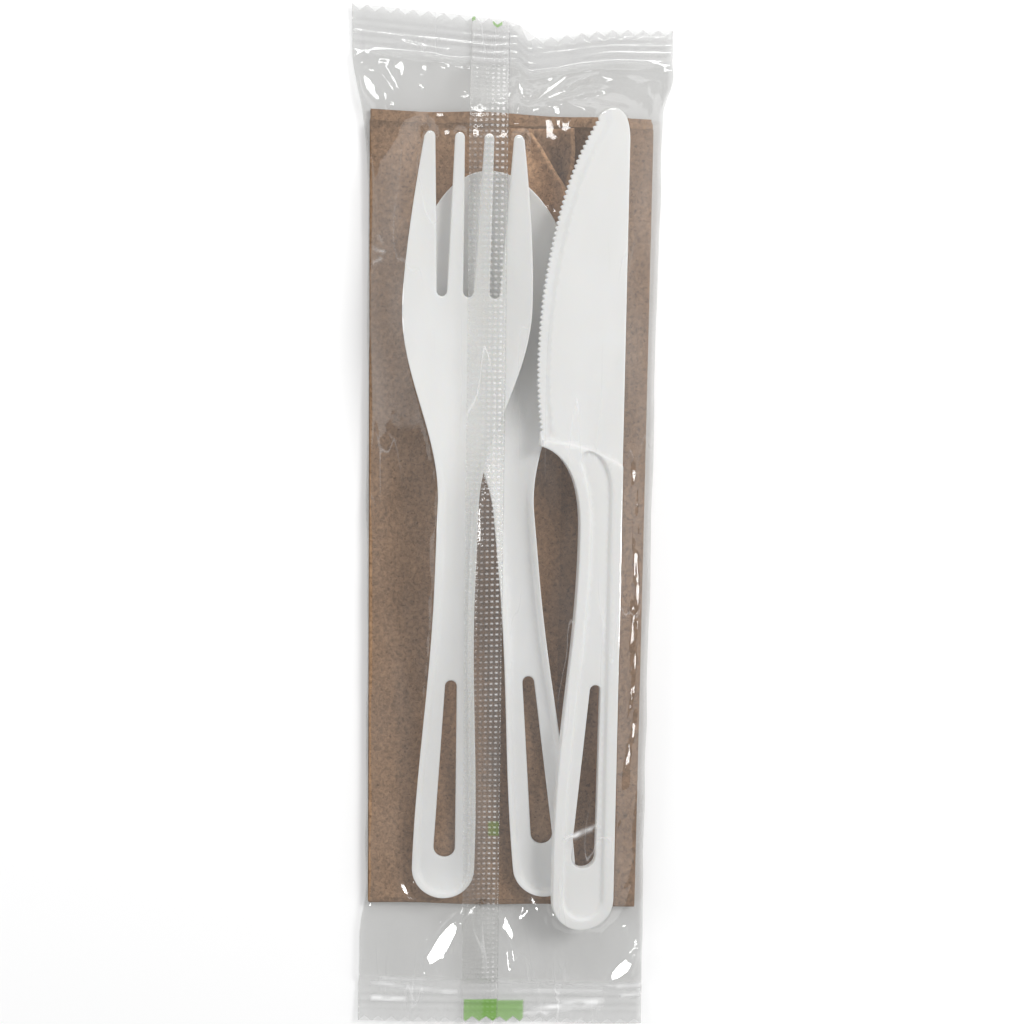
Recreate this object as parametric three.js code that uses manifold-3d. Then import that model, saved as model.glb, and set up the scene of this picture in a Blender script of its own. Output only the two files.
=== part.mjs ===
// A sealed cutlery pack: a spoon, a fork and a knife on a folded paper napkin, wrapped in clear film.
// Millimetres, +Z up. The pack lies on its back with the tines towards +Y.
// The origin is on the surface under the middle of the pack.
import * as THREE from "three";
import { mergeVertices } from "three/addons/utils/BufferGeometryUtils.js";
import Module from "manifold-3d";

const wasm = await Module();
wasm.setup();

// Gap between pieces that touch
const REST_GAP = 0.3;

// Film wrapper: one web of film, its long edges joined in a fin that lies on the front
const PACK_LENGTH = 212.6;
const FILM_THICKNESS = 0.05;
const FILM_GAP = 0.45;
const FILM_SIDE_GAP = 0.9;
const FIN_X = -0.6;
const FIN_WIDTH = 7.5;
const FIN_STEP = 0.6;
const PLY_PITCH = 0.15;

// Crimped end seals with a zigzag cut
const TOP_SEAL_WIDTH = 64;
const TOP_SEAL_HEIGHT = 9;
const BOTTOM_SEAL_WIDTH = 61;
const BOTTOM_SEAL_HEIGHT = 8;
const SEAL_THICKNESS = 0.6;
const SEAL_LAP = 1;
const CRIMP_COUNT = 3;
const CRIMP_WIDTH = 0.8;
const CRIMP_DEPTH = 0.3;
const TOOTH_PITCH = 3;
const TOOTH_HEIGHT = 1;

// The top seal is bent: it drops from its left corner to the fin, dips beside it and rises again
const SAG_AT_FIN = 3;
const SAG_DIP = 6.2;
const SAG_RIGHT = 4.5;
const DIP_X = 4;
const DIP_LENGTH = 18;

// Paper napkin
const NAPKIN_WIDTH = 57;
const NAPKIN_LENGTH = 164.6;
const NAPKIN_THICKNESS = 2.4;
const NAPKIN_STEP = 2.1;
const NAPKIN_Y = 2.6;
const NAPKIN_LAP = 0.6;

// Handles of the spoon and the fork
const WALL = 1.3;
const HANDLE_END_WIDTH = 13.1;
const HANDLE_WAIST_WIDTH = 8.2;
const HANDLE_FLARE = 63;
const HANDLE_TROUGH = 1.6;
const NECK_HEIGHT = 6;
const SLOT_TOP = 47.8;
const SLOT_TOP_WIDTH = 2.4;
const SLOT_END_WIDTH = 4.5;

// Spoon
const SPOON_LENGTH = 150.5;
const BOWL_WIDTH = 32.1;
const BOWL_FRONT = 26.4;
const BOWL_SHOULDER = 42;
const BOWL_DEPTH = 4.8;
const SPOON_SLOT_BOTTOM = 11;
const SPOON_END = [9.6, -76.4];
const SPOON_TURN = 5.6;

// Fork
const FORK_LENGTH = 157.8;
const HEAD_WIDTH = 25.7;
const HEAD_LENGTH = 33.5;
const HEAD_SHOULDER = 39;
const HEAD_DISH = 3;
const TIP_DISH = 1;
const TIP_RISE = 3.2;
const TIP_TAPER = 1.6;
const TINE_COUNT = 4;
const TINE_TIP_WIDTH = 1.9;
const TINE_TIP_PITCH = 5.7;
const TINE_GAP_WIDTH = 2.1;
const TINE_GAP_PITCH = 5.26;
const TINE_GAP_ROOT = 126;
const FORK_SLOT_BOTTOM = 8.4;
const FORK_END = [-12.5, -77.1];
const FORK_TURN = -2;

// Knife
const KNIFE_LENGTH = 168.6;
const KNIFE_END_WIDTH = 13;
const KNIFE_WAIST_WIDTH = 8.65;
const KNIFE_THICKNESS = 2.6;
const KNIFE_RIM = 2.4;
const KNIFE_FLARE_TOP = 0.7;
const KNIFE_FLARE_END = 0.52;
const PANEL_DEPTH = 0.8;
const BLADE_THICKNESS = 1.4;
const BLADE_WIDTH = 17.8;
const BLADE_HEEL = 102.4;
const TIP_ROUND = 6.4;
// Points of the cutting edge from heel to tip, as shares of the blade's width and length
const BLADE_EDGE = [[0.955, 0.04], [1, 0.22], [0.95, 0.45], [0.8, 0.67], [0.6, 0.84]];
const EDGE_BAND = 2.2;
const EDGE_THICKNESS = 0.8;
const SERRATION_PITCH = 1.03;
const SERRATION_DEPTH = 0.5;
const KNIFE_SLOT_TOP = 52.8;
const KNIFE_SLOT_BOTTOM = 13.4;
const KNIFE_SLOT_TOP_WIDTH = 2.2;
const KNIFE_SLOT_END_WIDTH = 5.2;
const KNIFE_SLOT_LEAN = 1.8;
const KNIFE_END = [23.2, -82.6];
const KNIFE_TURN = 0.1;
const KNIFE_ROLL = 10;

// Colours and roughness
const CUTLERY_COLOUR = 0xebebe8;
const CUTLERY_ROUGHNESS = 0.38;
const PAPER_COLOUR = 0x9a7a5f;
const PAPER_ROUGHNESS = 0.9;
const FILM_COLOUR = 0xe6e4df;
const FILM_ROUGHNESS = 0.12;

// How finely curves are divided
const COLUMNS = 12;
const HANDLE_STATIONS = 10;
const TINE_STATIONS = 9;
const ROUND_STEPS = 6;
const FIRST_ANGLE = 0.07;
const STATION_STEP = 5.5;
const PANEL_COLUMNS = 7;
const FIN_COLUMNS = 3;
const TIP_ROUNDS = 5;
const EDGE_SPACING = 2;

const { clamp, degToRad, lerp, mapLinear } = THREE.MathUtils;

// A smooth step from one value to another, level at both ends
function ease(from, to, share) {
  return lerp(from, to, (1 - Math.cos(Math.PI * clamp(share, 0, 1))) / 2);
}

// Values spaced evenly after the first, up to and with the last
function evenly(from, to, count) {
  return Array.from({ length: count }, (_, i) => lerp(from, to, (i + 1) / count));
}

// Solids and cuts

function solid(geometry) {
  geometry.deleteAttribute("normal");
  geometry.deleteAttribute("uv");
  const merged = mergeVertices(geometry, 1e-4);
  const vertProperties = new Float32Array(merged.attributes.position.array);
  const triVerts = new Uint32Array(merged.index.array);
  return new wasm.Manifold(new wasm.Mesh({ numProp: 3, vertProperties, triVerts }));
}

function geometryOf(body) {
  const { vertProperties, triVerts } = body.getMesh();
  const geometry = new THREE.BufferGeometry();
  geometry.setAttribute("position", new THREE.Float32BufferAttribute(vertProperties, 3));
  geometry.setIndex(Array.from(triVerts));
  return geometry;
}

// An outline in XY, raised from one height to another
function slab(shape, bottom, top, curveSegments = 8) {
  const options = { depth: top - bottom, bevelEnabled: false, curveSegments };
  return new THREE.ExtrudeGeometry(shape, options).translate(0, 0, bottom);
}

// A closed skin over rings of points. Each ring goes along one face of a thin wall and back along the other
function thinWall(rings) {
  const size = rings[0].length;
  const faces = [];
  for (let ring = 0; ring + 1 < rings.length; ring += 1) {
    for (let i = 0; i < size; i += 1) {
      const a = ring * size + i;
      const b = ring * size + ((i + 1) % size);
      faces.push(a, b, b + size, a, b + size, a + size);
    }
  }
  const last = (rings.length - 1) * size;
  for (let i = 0; i + 1 < size / 2; i += 1) {
    const back = size - 1 - i;
    faces.push(i, back, back - 1, i, back - 1, i + 1);
    faces.push(last + i, last + back - 1, last + back, last + i, last + i + 1, last + back - 1);
  }
  const positions = rings.flat().flatMap((point) => point.toArray());
  const geometry = new THREE.BufferGeometry();
  geometry.setAttribute("position", new THREE.Float32BufferAttribute(positions, 3));
  geometry.setIndex(faces);
  return geometry;
}

// A moulded strip along Y, dished between its edges, with the same wall all over
function mouldedStrip(form, stations) {
  const rings = stations.map((y) => {
    const shares = evenly(-1, 1, COLUMNS);
    const row = [-1, ...shares].map((share) => {
      return new THREE.Vector3(share * form.halfWidth(y), y, form.centre(y) + form.dish(y) * share * share);
    });
    const under = row.map((point) => new THREE.Vector3(point.x, point.y, point.z - WALL)).reverse();
    return [...under, ...row];
  });
  return thinWall(rings);
}

// A slot along Y with round ends of different widths, its upper end set over to one side
function taperedSlot(x, bottom, bottomWidth, top, topWidth, lean = 0) {
  const low = bottomWidth / 2;
  const high = topWidth / 2;
  const shape = new THREE.Shape();
  shape.moveTo(x + low, bottom + low);
  shape.lineTo(x + lean + high, top - high);
  shape.absarc(x + lean, top - high, high, 0, Math.PI, false);
  shape.lineTo(x - low, bottom + low);
  shape.absarc(x, bottom + low, low, Math.PI, 2 * Math.PI, false);
  return shape;
}

function piece(name, geometry, color, roughness) {
  const mesh = new THREE.Mesh(geometry, new THREE.MeshStandardMaterial({ color, roughness, metalness: 0 }));
  mesh.name = name;
  return mesh;
}

// The handle that the spoon and the fork share, from its round end at y = 0

function handleHalfWidth(y) {
  const round = HANDLE_END_WIDTH / 2;
  if (y < round) {
    return Math.sqrt(round ** 2 - (round - y) ** 2);
  }
  return ease(round, HANDLE_WAIST_WIDTH / 2, (y - round) / HANDLE_FLARE);
}

// The handle's mid line rises to the neck, and its trough comes up to a level rim round the end
function handleCentre(y, neck) {
  const round = HANDLE_END_WIDTH / 2;
  const rim = HANDLE_TROUGH * (Math.max(round - y, 0) / round) ** 2;
  return ease(WALL, NECK_HEIGHT, y / neck) + rim;
}

function handleDish(y) {
  const round = HANDLE_END_WIDTH / 2;
  return y < round ? HANDLE_TROUGH * (handleHalfWidth(y) / round) ** 2 : HANDLE_TROUGH;
}

function handleStations(neck) {
  const round = HANDLE_END_WIDTH / 2;
  const angles = [FIRST_ANGLE, ...evenly(FIRST_ANGLE, Math.PI / 2, ROUND_STEPS)];
  const end = angles.map((angle) => round * (1 - Math.cos(angle)));
  return [...end, ...evenly(round, neck, HANDLE_STATIONS)];
}

function handleSlot(bottom) {
  const shape = taperedSlot(0, bottom, SLOT_END_WIDTH, SLOT_TOP, SLOT_TOP_WIDTH);
  return throughCut(shape);
}

// A cut from below the whole moulding to above it
function throughCut(shape) {
  return solid(slab(shape, -1, NECK_HEIGHT + BOWL_DEPTH + HEAD_DISH + TIP_RISE + 1));
}

// Spoon

function makeSpoon() {
  const bowl = SPOON_LENGTH - BOWL_FRONT;
  const neck = bowl - BOWL_SHOULDER;
  const rim = WALL + BOWL_DEPTH;
  const forward = (y) => (y - bowl) / BOWL_FRONT;
  const shoulder = (from, to, y) => ease(from, to, (y - neck) / BOWL_SHOULDER);
  const halfWidth = (y) => {
    if (y > bowl) {
      return (BOWL_WIDTH / 2) * Math.sqrt(1 - forward(y) ** 2);
    }
    return y < neck ? handleHalfWidth(y) : shoulder(handleHalfWidth(neck), BOWL_WIDTH / 2, y);
  };
  const centre = (y) => {
    if (y > bowl) {
      return WALL + BOWL_DEPTH * forward(y) ** 2;
    }
    return y < neck ? handleCentre(y, neck) : shoulder(NECK_HEIGHT, WALL, y);
  };
  const dish = (y) => {
    return y < neck ? handleDish(y) : shoulder(NECK_HEIGHT + HANDLE_TROUGH, rim, y) - centre(y);
  };
  const angles = evenly(0, Math.PI / 2 - FIRST_ANGLE, ROUND_STEPS + 2);
  const front = angles.map((angle) => bowl + BOWL_FRONT * Math.sin(angle));
  const stations = [...handleStations(neck), ...evenly(neck, bowl, COLUMNS), ...front];
  const strip = solid(mouldedStrip({ halfWidth, centre, dish }, stations));
  const body = strip.subtract(handleSlot(SPOON_SLOT_BOTTOM));
  return piece("spoon", geometryOf(body), CUTLERY_COLOUR, CUTLERY_ROUGHNESS);
}

// Fork

function tineGap(number) {
  const round = TINE_GAP_WIDTH / 2;
  const open = (TINE_TIP_PITCH - TINE_TIP_WIDTH) / 2;
  const past = FORK_LENGTH + 1;
  const shape = new THREE.Shape();
  shape.moveTo(number * TINE_TIP_PITCH + open, past);
  shape.lineTo(number * TINE_TIP_PITCH - open, past);
  shape.lineTo(number * TINE_GAP_PITCH - round, TINE_GAP_ROOT + round);
  shape.absarc(number * TINE_GAP_PITCH, TINE_GAP_ROOT + round, round, Math.PI, 2 * Math.PI, false);
  return shape;
}

// What is cut away round one tine's tip
function tineCorners(number) {
  const x = number * TINE_TIP_PITCH;
  const reach = TINE_TIP_PITCH / 2;
  const round = TINE_TIP_WIDTH / 2;
  const shoulder = FORK_LENGTH - round;
  const shape = new THREE.Shape();
  shape.moveTo(x - reach, FORK_LENGTH + 1);
  shape.lineTo(x - reach, shoulder);
  shape.lineTo(x - round, shoulder);
  shape.absarc(x, shoulder, round, Math.PI, 0, true);
  shape.lineTo(x + reach, shoulder);
  shape.lineTo(x + reach, FORK_LENGTH + 1);
  return shape;
}

// Numbers spaced by one, in the middle about zero
function centred(count) {
  return Array.from({ length: count }, (_, i) => i - (count - 1) / 2);
}

function makeFork() {
  const head = FORK_LENGTH - HEAD_LENGTH;
  const neck = head - HEAD_SHOULDER;
  const tipHalf = ((TINE_COUNT - 1) * TINE_TIP_PITCH + TINE_TIP_WIDTH) / 2;
  const forward = (y) => (y - head) / HEAD_LENGTH;
  const shoulder = (from, to, y) => ease(from, to, (y - neck) / HEAD_SHOULDER);
  const halfWidth = (y) => {
    if (y > head) {
      return lerp(HEAD_WIDTH / 2, tipHalf, forward(y) ** TIP_TAPER);
    }
    return y < neck ? handleHalfWidth(y) : shoulder(handleHalfWidth(neck), HEAD_WIDTH / 2, y);
  };
  const centre = (y) => {
    if (y > head) {
      return WALL + TIP_RISE * forward(y) ** 2;
    }
    return y < neck ? handleCentre(y, neck) : shoulder(NECK_HEIGHT, WALL, y);
  };
  const dish = (y) => {
    if (y > head) {
      return ease(HEAD_DISH, TIP_DISH, forward(y));
    }
    return y < neck ? handleDish(y) : shoulder(HANDLE_TROUGH, HEAD_DISH, y);
  };
  const tines = evenly(head, FORK_LENGTH, TINE_STATIONS);
  const stations = [...handleStations(neck), ...evenly(neck, head, COLUMNS), ...tines];
  let body = solid(mouldedStrip({ halfWidth, centre, dish }, stations));
  body = body.subtract(handleSlot(FORK_SLOT_BOTTOM));
  for (const number of centred(TINE_COUNT - 1)) {
    body = body.subtract(throughCut(tineGap(number)));
  }
  for (const number of centred(TINE_COUNT)) {
    body = body.subtract(throughCut(tineCorners(number)));
  }
  return piece("fork", geometryOf(body), CUTLERY_COLOUR, CUTLERY_ROUGHNESS);
}

// Knife, with its spine along x = 0 and its cutting edge towards -X

function edgeCurve() {
  const points = BLADE_EDGE.map(([across, along]) => {
    return new THREE.Vector2(-BLADE_WIDTH * across, lerp(BLADE_HEEL, KNIFE_LENGTH, along));
  });
  return new THREE.SplineCurve([...points, new THREE.Vector2(-TIP_ROUND, KNIFE_LENGTH - TIP_ROUND / 3)]);
}

// The blade's outline, with its edge set in by a distance or serrated
function bladeOutline(inset, serrated) {
  const edge = edgeCurve();
  const teeth = Math.round(edge.getLength() / SERRATION_PITCH);
  const steps = serrated ? 2 * teeth : ROUND_STEPS * 2;
  const points = [];
  for (let i = 0; i <= steps; i += 1) {
    const along = edge.getTangentAt(i / steps);
    const depth = inset + (serrated && i % 2 === 1 ? SERRATION_DEPTH : 0);
    const point = edge.getPointAt(i / steps);
    points.push(new THREE.Vector2(point.x + along.y * depth, point.y - along.x * depth));
  }
  const heel = points[0];
  const tip = points.at(-1);
  const top = KNIFE_LENGTH - inset / 2;
  const shape = new THREE.Shape();
  shape.moveTo(0, BLADE_HEEL - KNIFE_WAIST_WIDTH);
  shape.lineTo(0, KNIFE_LENGTH - TIP_ROUND);
  shape.bezierCurveTo(0, top + TIP_ROUND / 8, tip.x + TIP_ROUND / 3, top + TIP_ROUND / 8, tip.x, tip.y);
  points.reverse().forEach((point) => shape.lineTo(point.x, point.y));
  shape.lineTo(heel.x, BLADE_HEEL - KNIFE_THICKNESS / 2);
  return shape;
}

// The side of the handle away from the spine, from its waist down to its round end
function handleSide(shape, inset) {
  const waistY = BLADE_HEEL - 2 * KNIFE_WAIST_WIDTH;
  const waist = inset - KNIFE_WAIST_WIDTH;
  const end = inset - KNIFE_END_WIDTH;
  const round = KNIFE_END_WIDTH / 2;
  shape.bezierCurveTo(waist, waistY * KNIFE_FLARE_TOP, end, waistY * KNIFE_FLARE_END, end, KNIFE_END_WIDTH);
  shape.lineTo(end, round);
  shape.absarc(-round, round, round - inset, Math.PI, 2 * Math.PI, false);
}

function handleOutline() {
  const heelX = edgeCurve().getPoint(0).x;
  const waistY = BLADE_HEEL - 2 * KNIFE_WAIST_WIDTH;
  const shape = new THREE.Shape();
  shape.moveTo(0, BLADE_HEEL - KNIFE_WAIST_WIDTH / 2);
  shape.quadraticCurveTo(heelX / 2, BLADE_HEEL + 1, heelX, BLADE_HEEL + 1);
  shape.lineTo(heelX, BLADE_HEEL);
  shape.quadraticCurveTo(-KNIFE_WAIST_WIDTH, BLADE_HEEL - KNIFE_RIM, -KNIFE_WAIST_WIDTH, waistY);
  handleSide(shape, 0);
  return shape;
}

// The sunken panel, inside a rim of even width
function panelOutline() {
  const top = BLADE_HEEL - KNIFE_RIM / 2;
  const waistY = BLADE_HEEL - 2 * KNIFE_WAIST_WIDTH;
  const waist = KNIFE_RIM - KNIFE_WAIST_WIDTH;
  const shape = new THREE.Shape();
  shape.moveTo(-KNIFE_RIM, top - KNIFE_WAIST_WIDTH);
  const corner = -KNIFE_WAIST_WIDTH;
  shape.bezierCurveTo(-KNIFE_RIM, top, corner, top + KNIFE_RIM, corner, top - KNIFE_RIM);
  shape.quadraticCurveTo(waist, top - KNIFE_WAIST_WIDTH, waist, waistY);
  handleSide(shape, KNIFE_RIM);
  return shape;
}

function makeKnife() {
  const middle = KNIFE_THICKNESS / 2;
  const plate = (shape, thickness) => solid(slab(shape, middle - thickness / 2, middle + thickness / 2));
  const slot = taperedSlot(
    -KNIFE_END_WIDTH / 2,
    KNIFE_SLOT_BOTTOM,
    KNIFE_SLOT_END_WIDTH,
    KNIFE_SLOT_TOP,
    KNIFE_SLOT_TOP_WIDTH,
    KNIFE_SLOT_LEAN,
  );
  const body = plate(handleOutline(), KNIFE_THICKNESS)
    .add(plate(bladeOutline(EDGE_BAND, false), BLADE_THICKNESS))
    .add(plate(bladeOutline(0, true), EDGE_THICKNESS))
    .subtract(solid(slab(panelOutline(), KNIFE_THICKNESS - PANEL_DEPTH, KNIFE_THICKNESS + 1)))
    .subtract(solid(slab(slot, -1, KNIFE_THICKNESS + 1)));
  return piece("knife", geometryOf(body), CUTLERY_COLOUR, CUTLERY_ROUGHNESS);
}

// Paper napkin: a folded pad with its folds along the sides and its back leaves standing out at the top

function leaves(bottom, top, end) {
  const half = NAPKIN_WIDTH / 2;
  const round = (top - bottom) / 2;
  const section = new THREE.Shape();
  section.moveTo(-half + round, bottom);
  section.lineTo(half - round, bottom);
  section.absarc(half - round, bottom + round, round, -Math.PI / 2, Math.PI / 2, false);
  section.lineTo(-half + round, top);
  section.absarc(-half + round, bottom + round, round, Math.PI / 2, (3 * Math.PI) / 2, false);
  return solid(slab(section, -end, NAPKIN_LENGTH / 2 - NAPKIN_Y, ROUND_STEPS).rotateX(Math.PI / 2));
}

function makeNapkin() {
  const bottom = FILM_THICKNESS + REST_GAP;
  const end = NAPKIN_Y + NAPKIN_LENGTH / 2;
  const back = leaves(bottom, bottom + NAPKIN_THICKNESS * NAPKIN_LAP, end);
  const top = bottom + NAPKIN_THICKNESS;
  const front = leaves(top - NAPKIN_THICKNESS * NAPKIN_LAP, top, end - NAPKIN_STEP);
  return piece("paper_napkin", geometryOf(back.add(front)), PAPER_COLOUR, PAPER_ROUGHNESS);
}

// Resting one piece on others

const UP = new THREE.Vector3(0, 0, 1);
const DOWN = new THREE.Vector3(0, 0, -1);

// A piece's corners, and points along its edges when a spacing is given
function worldPoints(mesh, spacing = Infinity) {
  mesh.updateMatrixWorld(true);
  const { index, attributes } = mesh.geometry;
  const corners = Array.from({ length: attributes.position.count }, (_, i) => {
    return new THREE.Vector3().fromBufferAttribute(attributes.position, i).applyMatrix4(mesh.matrixWorld);
  });
  const between = [];
  for (let i = 0; i < index.count; i += 1) {
    const from = corners[index.getX(i)];
    const to = corners[index.getX(i % 3 === 2 ? i - 2 : i + 1)];
    const steps = Math.ceil(from.distanceTo(to) / spacing);
    for (let step = 1; step < steps; step += 1) {
      between.push(from.clone().lerp(to, step / steps));
    }
  }
  return [...corners, ...between];
}

function firstHit(point, direction, targets) {
  return new THREE.Raycaster(point, direction).intersectObjects(targets)[0];
}

// The upright gaps between a raised piece and what is under it, each with its place along the pack
function gapsUnder(upper, lowers, spacing) {
  const area = new THREE.Box3().setFromObject(upper);
  area.min.z = 0;
  const points = lowers.flatMap((mesh) => worldPoints(mesh, spacing));
  const below = points.filter((point) => area.containsPoint(point));
  const down = worldPoints(upper, spacing).map((point) => [point, firstHit(point, DOWN, lowers)]);
  const up = below.map((point) => [point, firstHit(point, UP, [upper])]);
  const found = [...down, ...up].filter(([, hit]) => hit);
  return found.map(([point, hit]) => ({ y: point.y, gap: hit.distance }));
}

function nearest(gaps) {
  return gaps.reduce((a, b) => (b.gap < a.gap ? b : a));
}

// Sets a piece down on others at the resting gap. One that tips is turned until it rests at both ends
function settle(upper, lowers, tips) {
  upper.position.z += PACK_LENGTH;
  for (let round = 0; tips && round < TIP_ROUNDS; round += 1) {
    const gaps = gapsUnder(upper, lowers);
    const ahead = nearest(gaps.filter(({ y }) => y > 0));
    const behind = nearest(gaps.filter(({ y }) => y <= 0));
    upper.rotation.x -= Math.atan2(ahead.gap - behind.gap, ahead.y - behind.y);
  }
  upper.position.z -= nearest(gapsUnder(upper, lowers, EDGE_SPACING)).gap - REST_GAP;
  upper.updateMatrixWorld(true);
}

function place(mesh, [x, y], turn, roll) {
  mesh.position.set(x, y, 0);
  mesh.rotation.set(0, degToRad(roll), degToRad(turn));
  return mesh;
}

// Film wrapper

// A taut film over given heights: their upper hull, read at the same places
function taut(places, heights) {
  const turn = (a, b, c) => {
    const left = (places[b] - places[a]) * (heights[c] - heights[a]);
    return left - (places[c] - places[a]) * (heights[b] - heights[a]);
  };
  const hull = [];
  places.forEach((_, i) => {
    while (hull.length > 1 && turn(hull.at(-2), hull.at(-1), i) >= 0) {
      hull.pop();
    }
    hull.push(i);
  });
  return places.map((at, i) => {
    const b = hull.find((corner) => corner >= i);
    const a = hull.findLast((corner) => corner <= i);
    return a === b ? heights[i] : mapLinear(at, places[a], places[b], heights[a], heights[b]);
  });
}

// Points on top of the contents: their corners, and a grid of points between them
function topPoints(contents) {
  const box = new THREE.Box3();
  contents.forEach((mesh) => box.expandByObject(mesh));
  const points = contents.flatMap((mesh) => worldPoints(mesh));
  for (let y = box.min.y; y < box.max.y; y += STATION_STEP / 2) {
    for (let x = box.min.x; x < box.max.x; x += STATION_STEP / 3) {
      const hit = firstHit(new THREE.Vector3(x, y, PACK_LENGTH), DOWN, contents);
      if (hit) {
        points.push(hit.point);
      }
    }
  }
  return points;
}

const sealTop = PACK_LENGTH / 2 - TOP_SEAL_HEIGHT;
const sealBottom = BOTTOM_SEAL_HEIGHT - PACK_LENGTH / 2;
const bodyHalf = NAPKIN_WIDTH / 2 + FILM_SIDE_GAP;

// Half the film tube's width: even over the napkin, and opening to each seal
function filmHalf(y) {
  const napkinTop = NAPKIN_Y + NAPKIN_LENGTH / 2;
  const napkinBottom = NAPKIN_Y - NAPKIN_LENGTH / 2;
  if (y > napkinTop) {
    return ease(bodyHalf, TOP_SEAL_WIDTH / 2, (y - napkinTop) / (sealTop - napkinTop));
  }
  return ease(bodyHalf, BOTTOM_SEAL_WIDTH / 2, (napkinBottom - y) / (napkinBottom - sealBottom));
}

// The film's columns across its front: its left panel, the panel under the fin and its right panel
function filmColumns(y) {
  const half = filmHalf(y);
  const finEdge = FIN_X - FIN_WIDTH;
  return [
    -half,
    ...evenly(-half, finEdge, PANEL_COLUMNS),
    ...evenly(finEdge, FIN_X, FIN_COLUMNS),
    FIN_X + FIN_STEP,
    ...evenly(FIN_X + FIN_STEP, half, PANEL_COLUMNS + 1),
  ];
}

// The film's height at each column of each station, taut over the contents both ways
function filmRoof(stations, contents) {
  const floor = FILM_THICKNESS / 2 + PLY_PITCH;
  const points = topPoints(contents);
  const reach = bodyHalf / PANEL_COLUMNS;
  const above = (x, y) => {
    const beside = points.filter((point) => Math.abs(point.x - x) < reach);
    const near = beside.filter((point) => Math.abs(point.y - y) < STATION_STEP);
    return near.reduce((height, point) => Math.max(height, point.z + FILM_GAP), floor);
  };
  const acrossPack = (rows) => rows.map((row, i) => taut(filmColumns(stations[i]), row));
  const alongPack = (rows) => {
    const columns = rows[0].map((_, j) => taut(stations, rows.map((row) => row[j])));
    return rows.map((_, i) => columns.map((column) => column[i]));
  };
  const rows = stations.map((y) => filmColumns(y).map((x) => above(x, y)));
  return alongPack(acrossPack(rows));
}

// One section of the film: the fin's upper ply, the right panel, the back, the left panel, the lower ply
function filmPath(y, heights) {
  const front = filmColumns(y).map((x, j) => new THREE.Vector2(x, heights[j]));
  const root = PANEL_COLUMNS + FIN_COLUMNS;
  const left = front.slice(0, root + 1);
  const right = front.slice(root + 1);
  const fin = front.slice(PANEL_COLUMNS, root + 1);
  const lifted = (plies) => fin.map((point) => new THREE.Vector2(point.x, point.y + plies * PLY_PITCH));
  const back = FILM_THICKNESS / 2;
  const fold = new THREE.Vector2(FIN_X + PLY_PITCH / 2, front[root].y + PLY_PITCH / 2);
  return [
    ...lifted(2),
    ...right,
    new THREE.Vector2(right.at(-1).x, back),
    new THREE.Vector2(left[0].x, back),
    ...left,
    fold,
    ...lifted(1).reverse(),
  ];
}

// The two faces of a film that follows a path, out along one and back along the other
function filmRing(path, y) {
  const faces = [1, -1].map((side) => path.map((point, k) => {
    const before = path[Math.max(k - 1, 0)];
    const after = path[Math.min(k + 1, path.length - 1)];
    const into = k > 0 ? point.clone().sub(before).normalize() : after.clone().sub(point).normalize();
    const out = k + 1 < path.length ? after.clone().sub(point).normalize() : into;
    const normal = new THREE.Vector2(-into.y - out.y, into.x + out.x).normalize();
    const mitre = (side * FILM_THICKNESS) / 2 / Math.max(normal.dot(new THREE.Vector2(-into.y, into.x)), 0.5);
    return new THREE.Vector3(point.x + normal.x * mitre, y, point.y + normal.y * mitre);
  }));
  return [...faces[0], ...faces[1].reverse()];
}

// A crimped seal plate: its inner line at y = 0, its zigzag edge towards +Y
function sealPlate(width, height) {
  const shape = new THREE.Shape();
  const teeth = Math.round(width / TOOTH_PITCH);
  shape.moveTo(-width / 2, 0);
  shape.lineTo(width / 2, 0);
  for (let i = 0; i <= 2 * teeth; i += 1) {
    const x = width / 2 - (width * i) / (2 * teeth);
    shape.lineTo(x, i % 2 === 0 ? height : height - TOOTH_HEIGHT);
  }
  let plate = solid(slab(shape, 0, SEAL_THICKNESS));
  for (const y of evenly(SEAL_LAP, height - TOOTH_HEIGHT, CRIMP_COUNT + 1).slice(0, -1)) {
    const groove = new THREE.BoxGeometry(width + 1, CRIMP_WIDTH, 2 * CRIMP_DEPTH);
    plate = plate.subtract(solid(groove.translate(0, y, SEAL_THICKNESS)));
  }
  return plate;
}

// How far the top seal is pulled down, across the pack
function sealSag(x) {
  if (x < 0) {
    return mapLinear(x, -TOP_SEAL_WIDTH / 2, 0, 0, SAG_AT_FIN);
  }
  if (x < DIP_X) {
    return ease(SAG_AT_FIN, SAG_DIP, x / DIP_X);
  }
  return ease(SAG_DIP, SAG_RIGHT, (x - DIP_X) / DIP_LENGTH);
}

// Bends the top end of the film by the sag, from the end of the contents on
function bendTop(geometry, start) {
  const positions = geometry.attributes.position;
  for (let i = 0; i < positions.count; i += 1) {
    const share = clamp((positions.getY(i) - start) / (sealTop - start), 0, 1);
    positions.setY(i, positions.getY(i) - share * sealSag(positions.getX(i)));
  }
  return geometry;
}

function makeFilm(contents) {
  const from = sealBottom - SEAL_LAP / 2;
  const to = sealTop + SEAL_LAP / 2;
  const count = Math.round((to - from) / STATION_STEP);
  const stations = [from, ...evenly(from, to, count)];
  const roof = filmRoof(stations, contents);
  const tube = thinWall(stations.map((y, i) => filmRing(filmPath(y, roof[i]), y)));
  const top = sealPlate(TOP_SEAL_WIDTH, TOP_SEAL_HEIGHT).translate([0, sealTop, 0]);
  const bottom = sealPlate(BOTTOM_SEAL_WIDTH, BOTTOM_SEAL_HEIGHT).mirror([0, 1, 0]);
  const body = solid(tube).add(top).add(bottom.translate([0, sealBottom, 0]));
  const box = new THREE.Box3();
  contents.forEach((mesh) => box.expandByObject(mesh));
  const geometry = bendTop(geometryOf(body), box.max.y);
  return piece("film_wrapper", geometry, FILM_COLOUR, FILM_ROUGHNESS);
}

// The pack, from the back up

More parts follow.
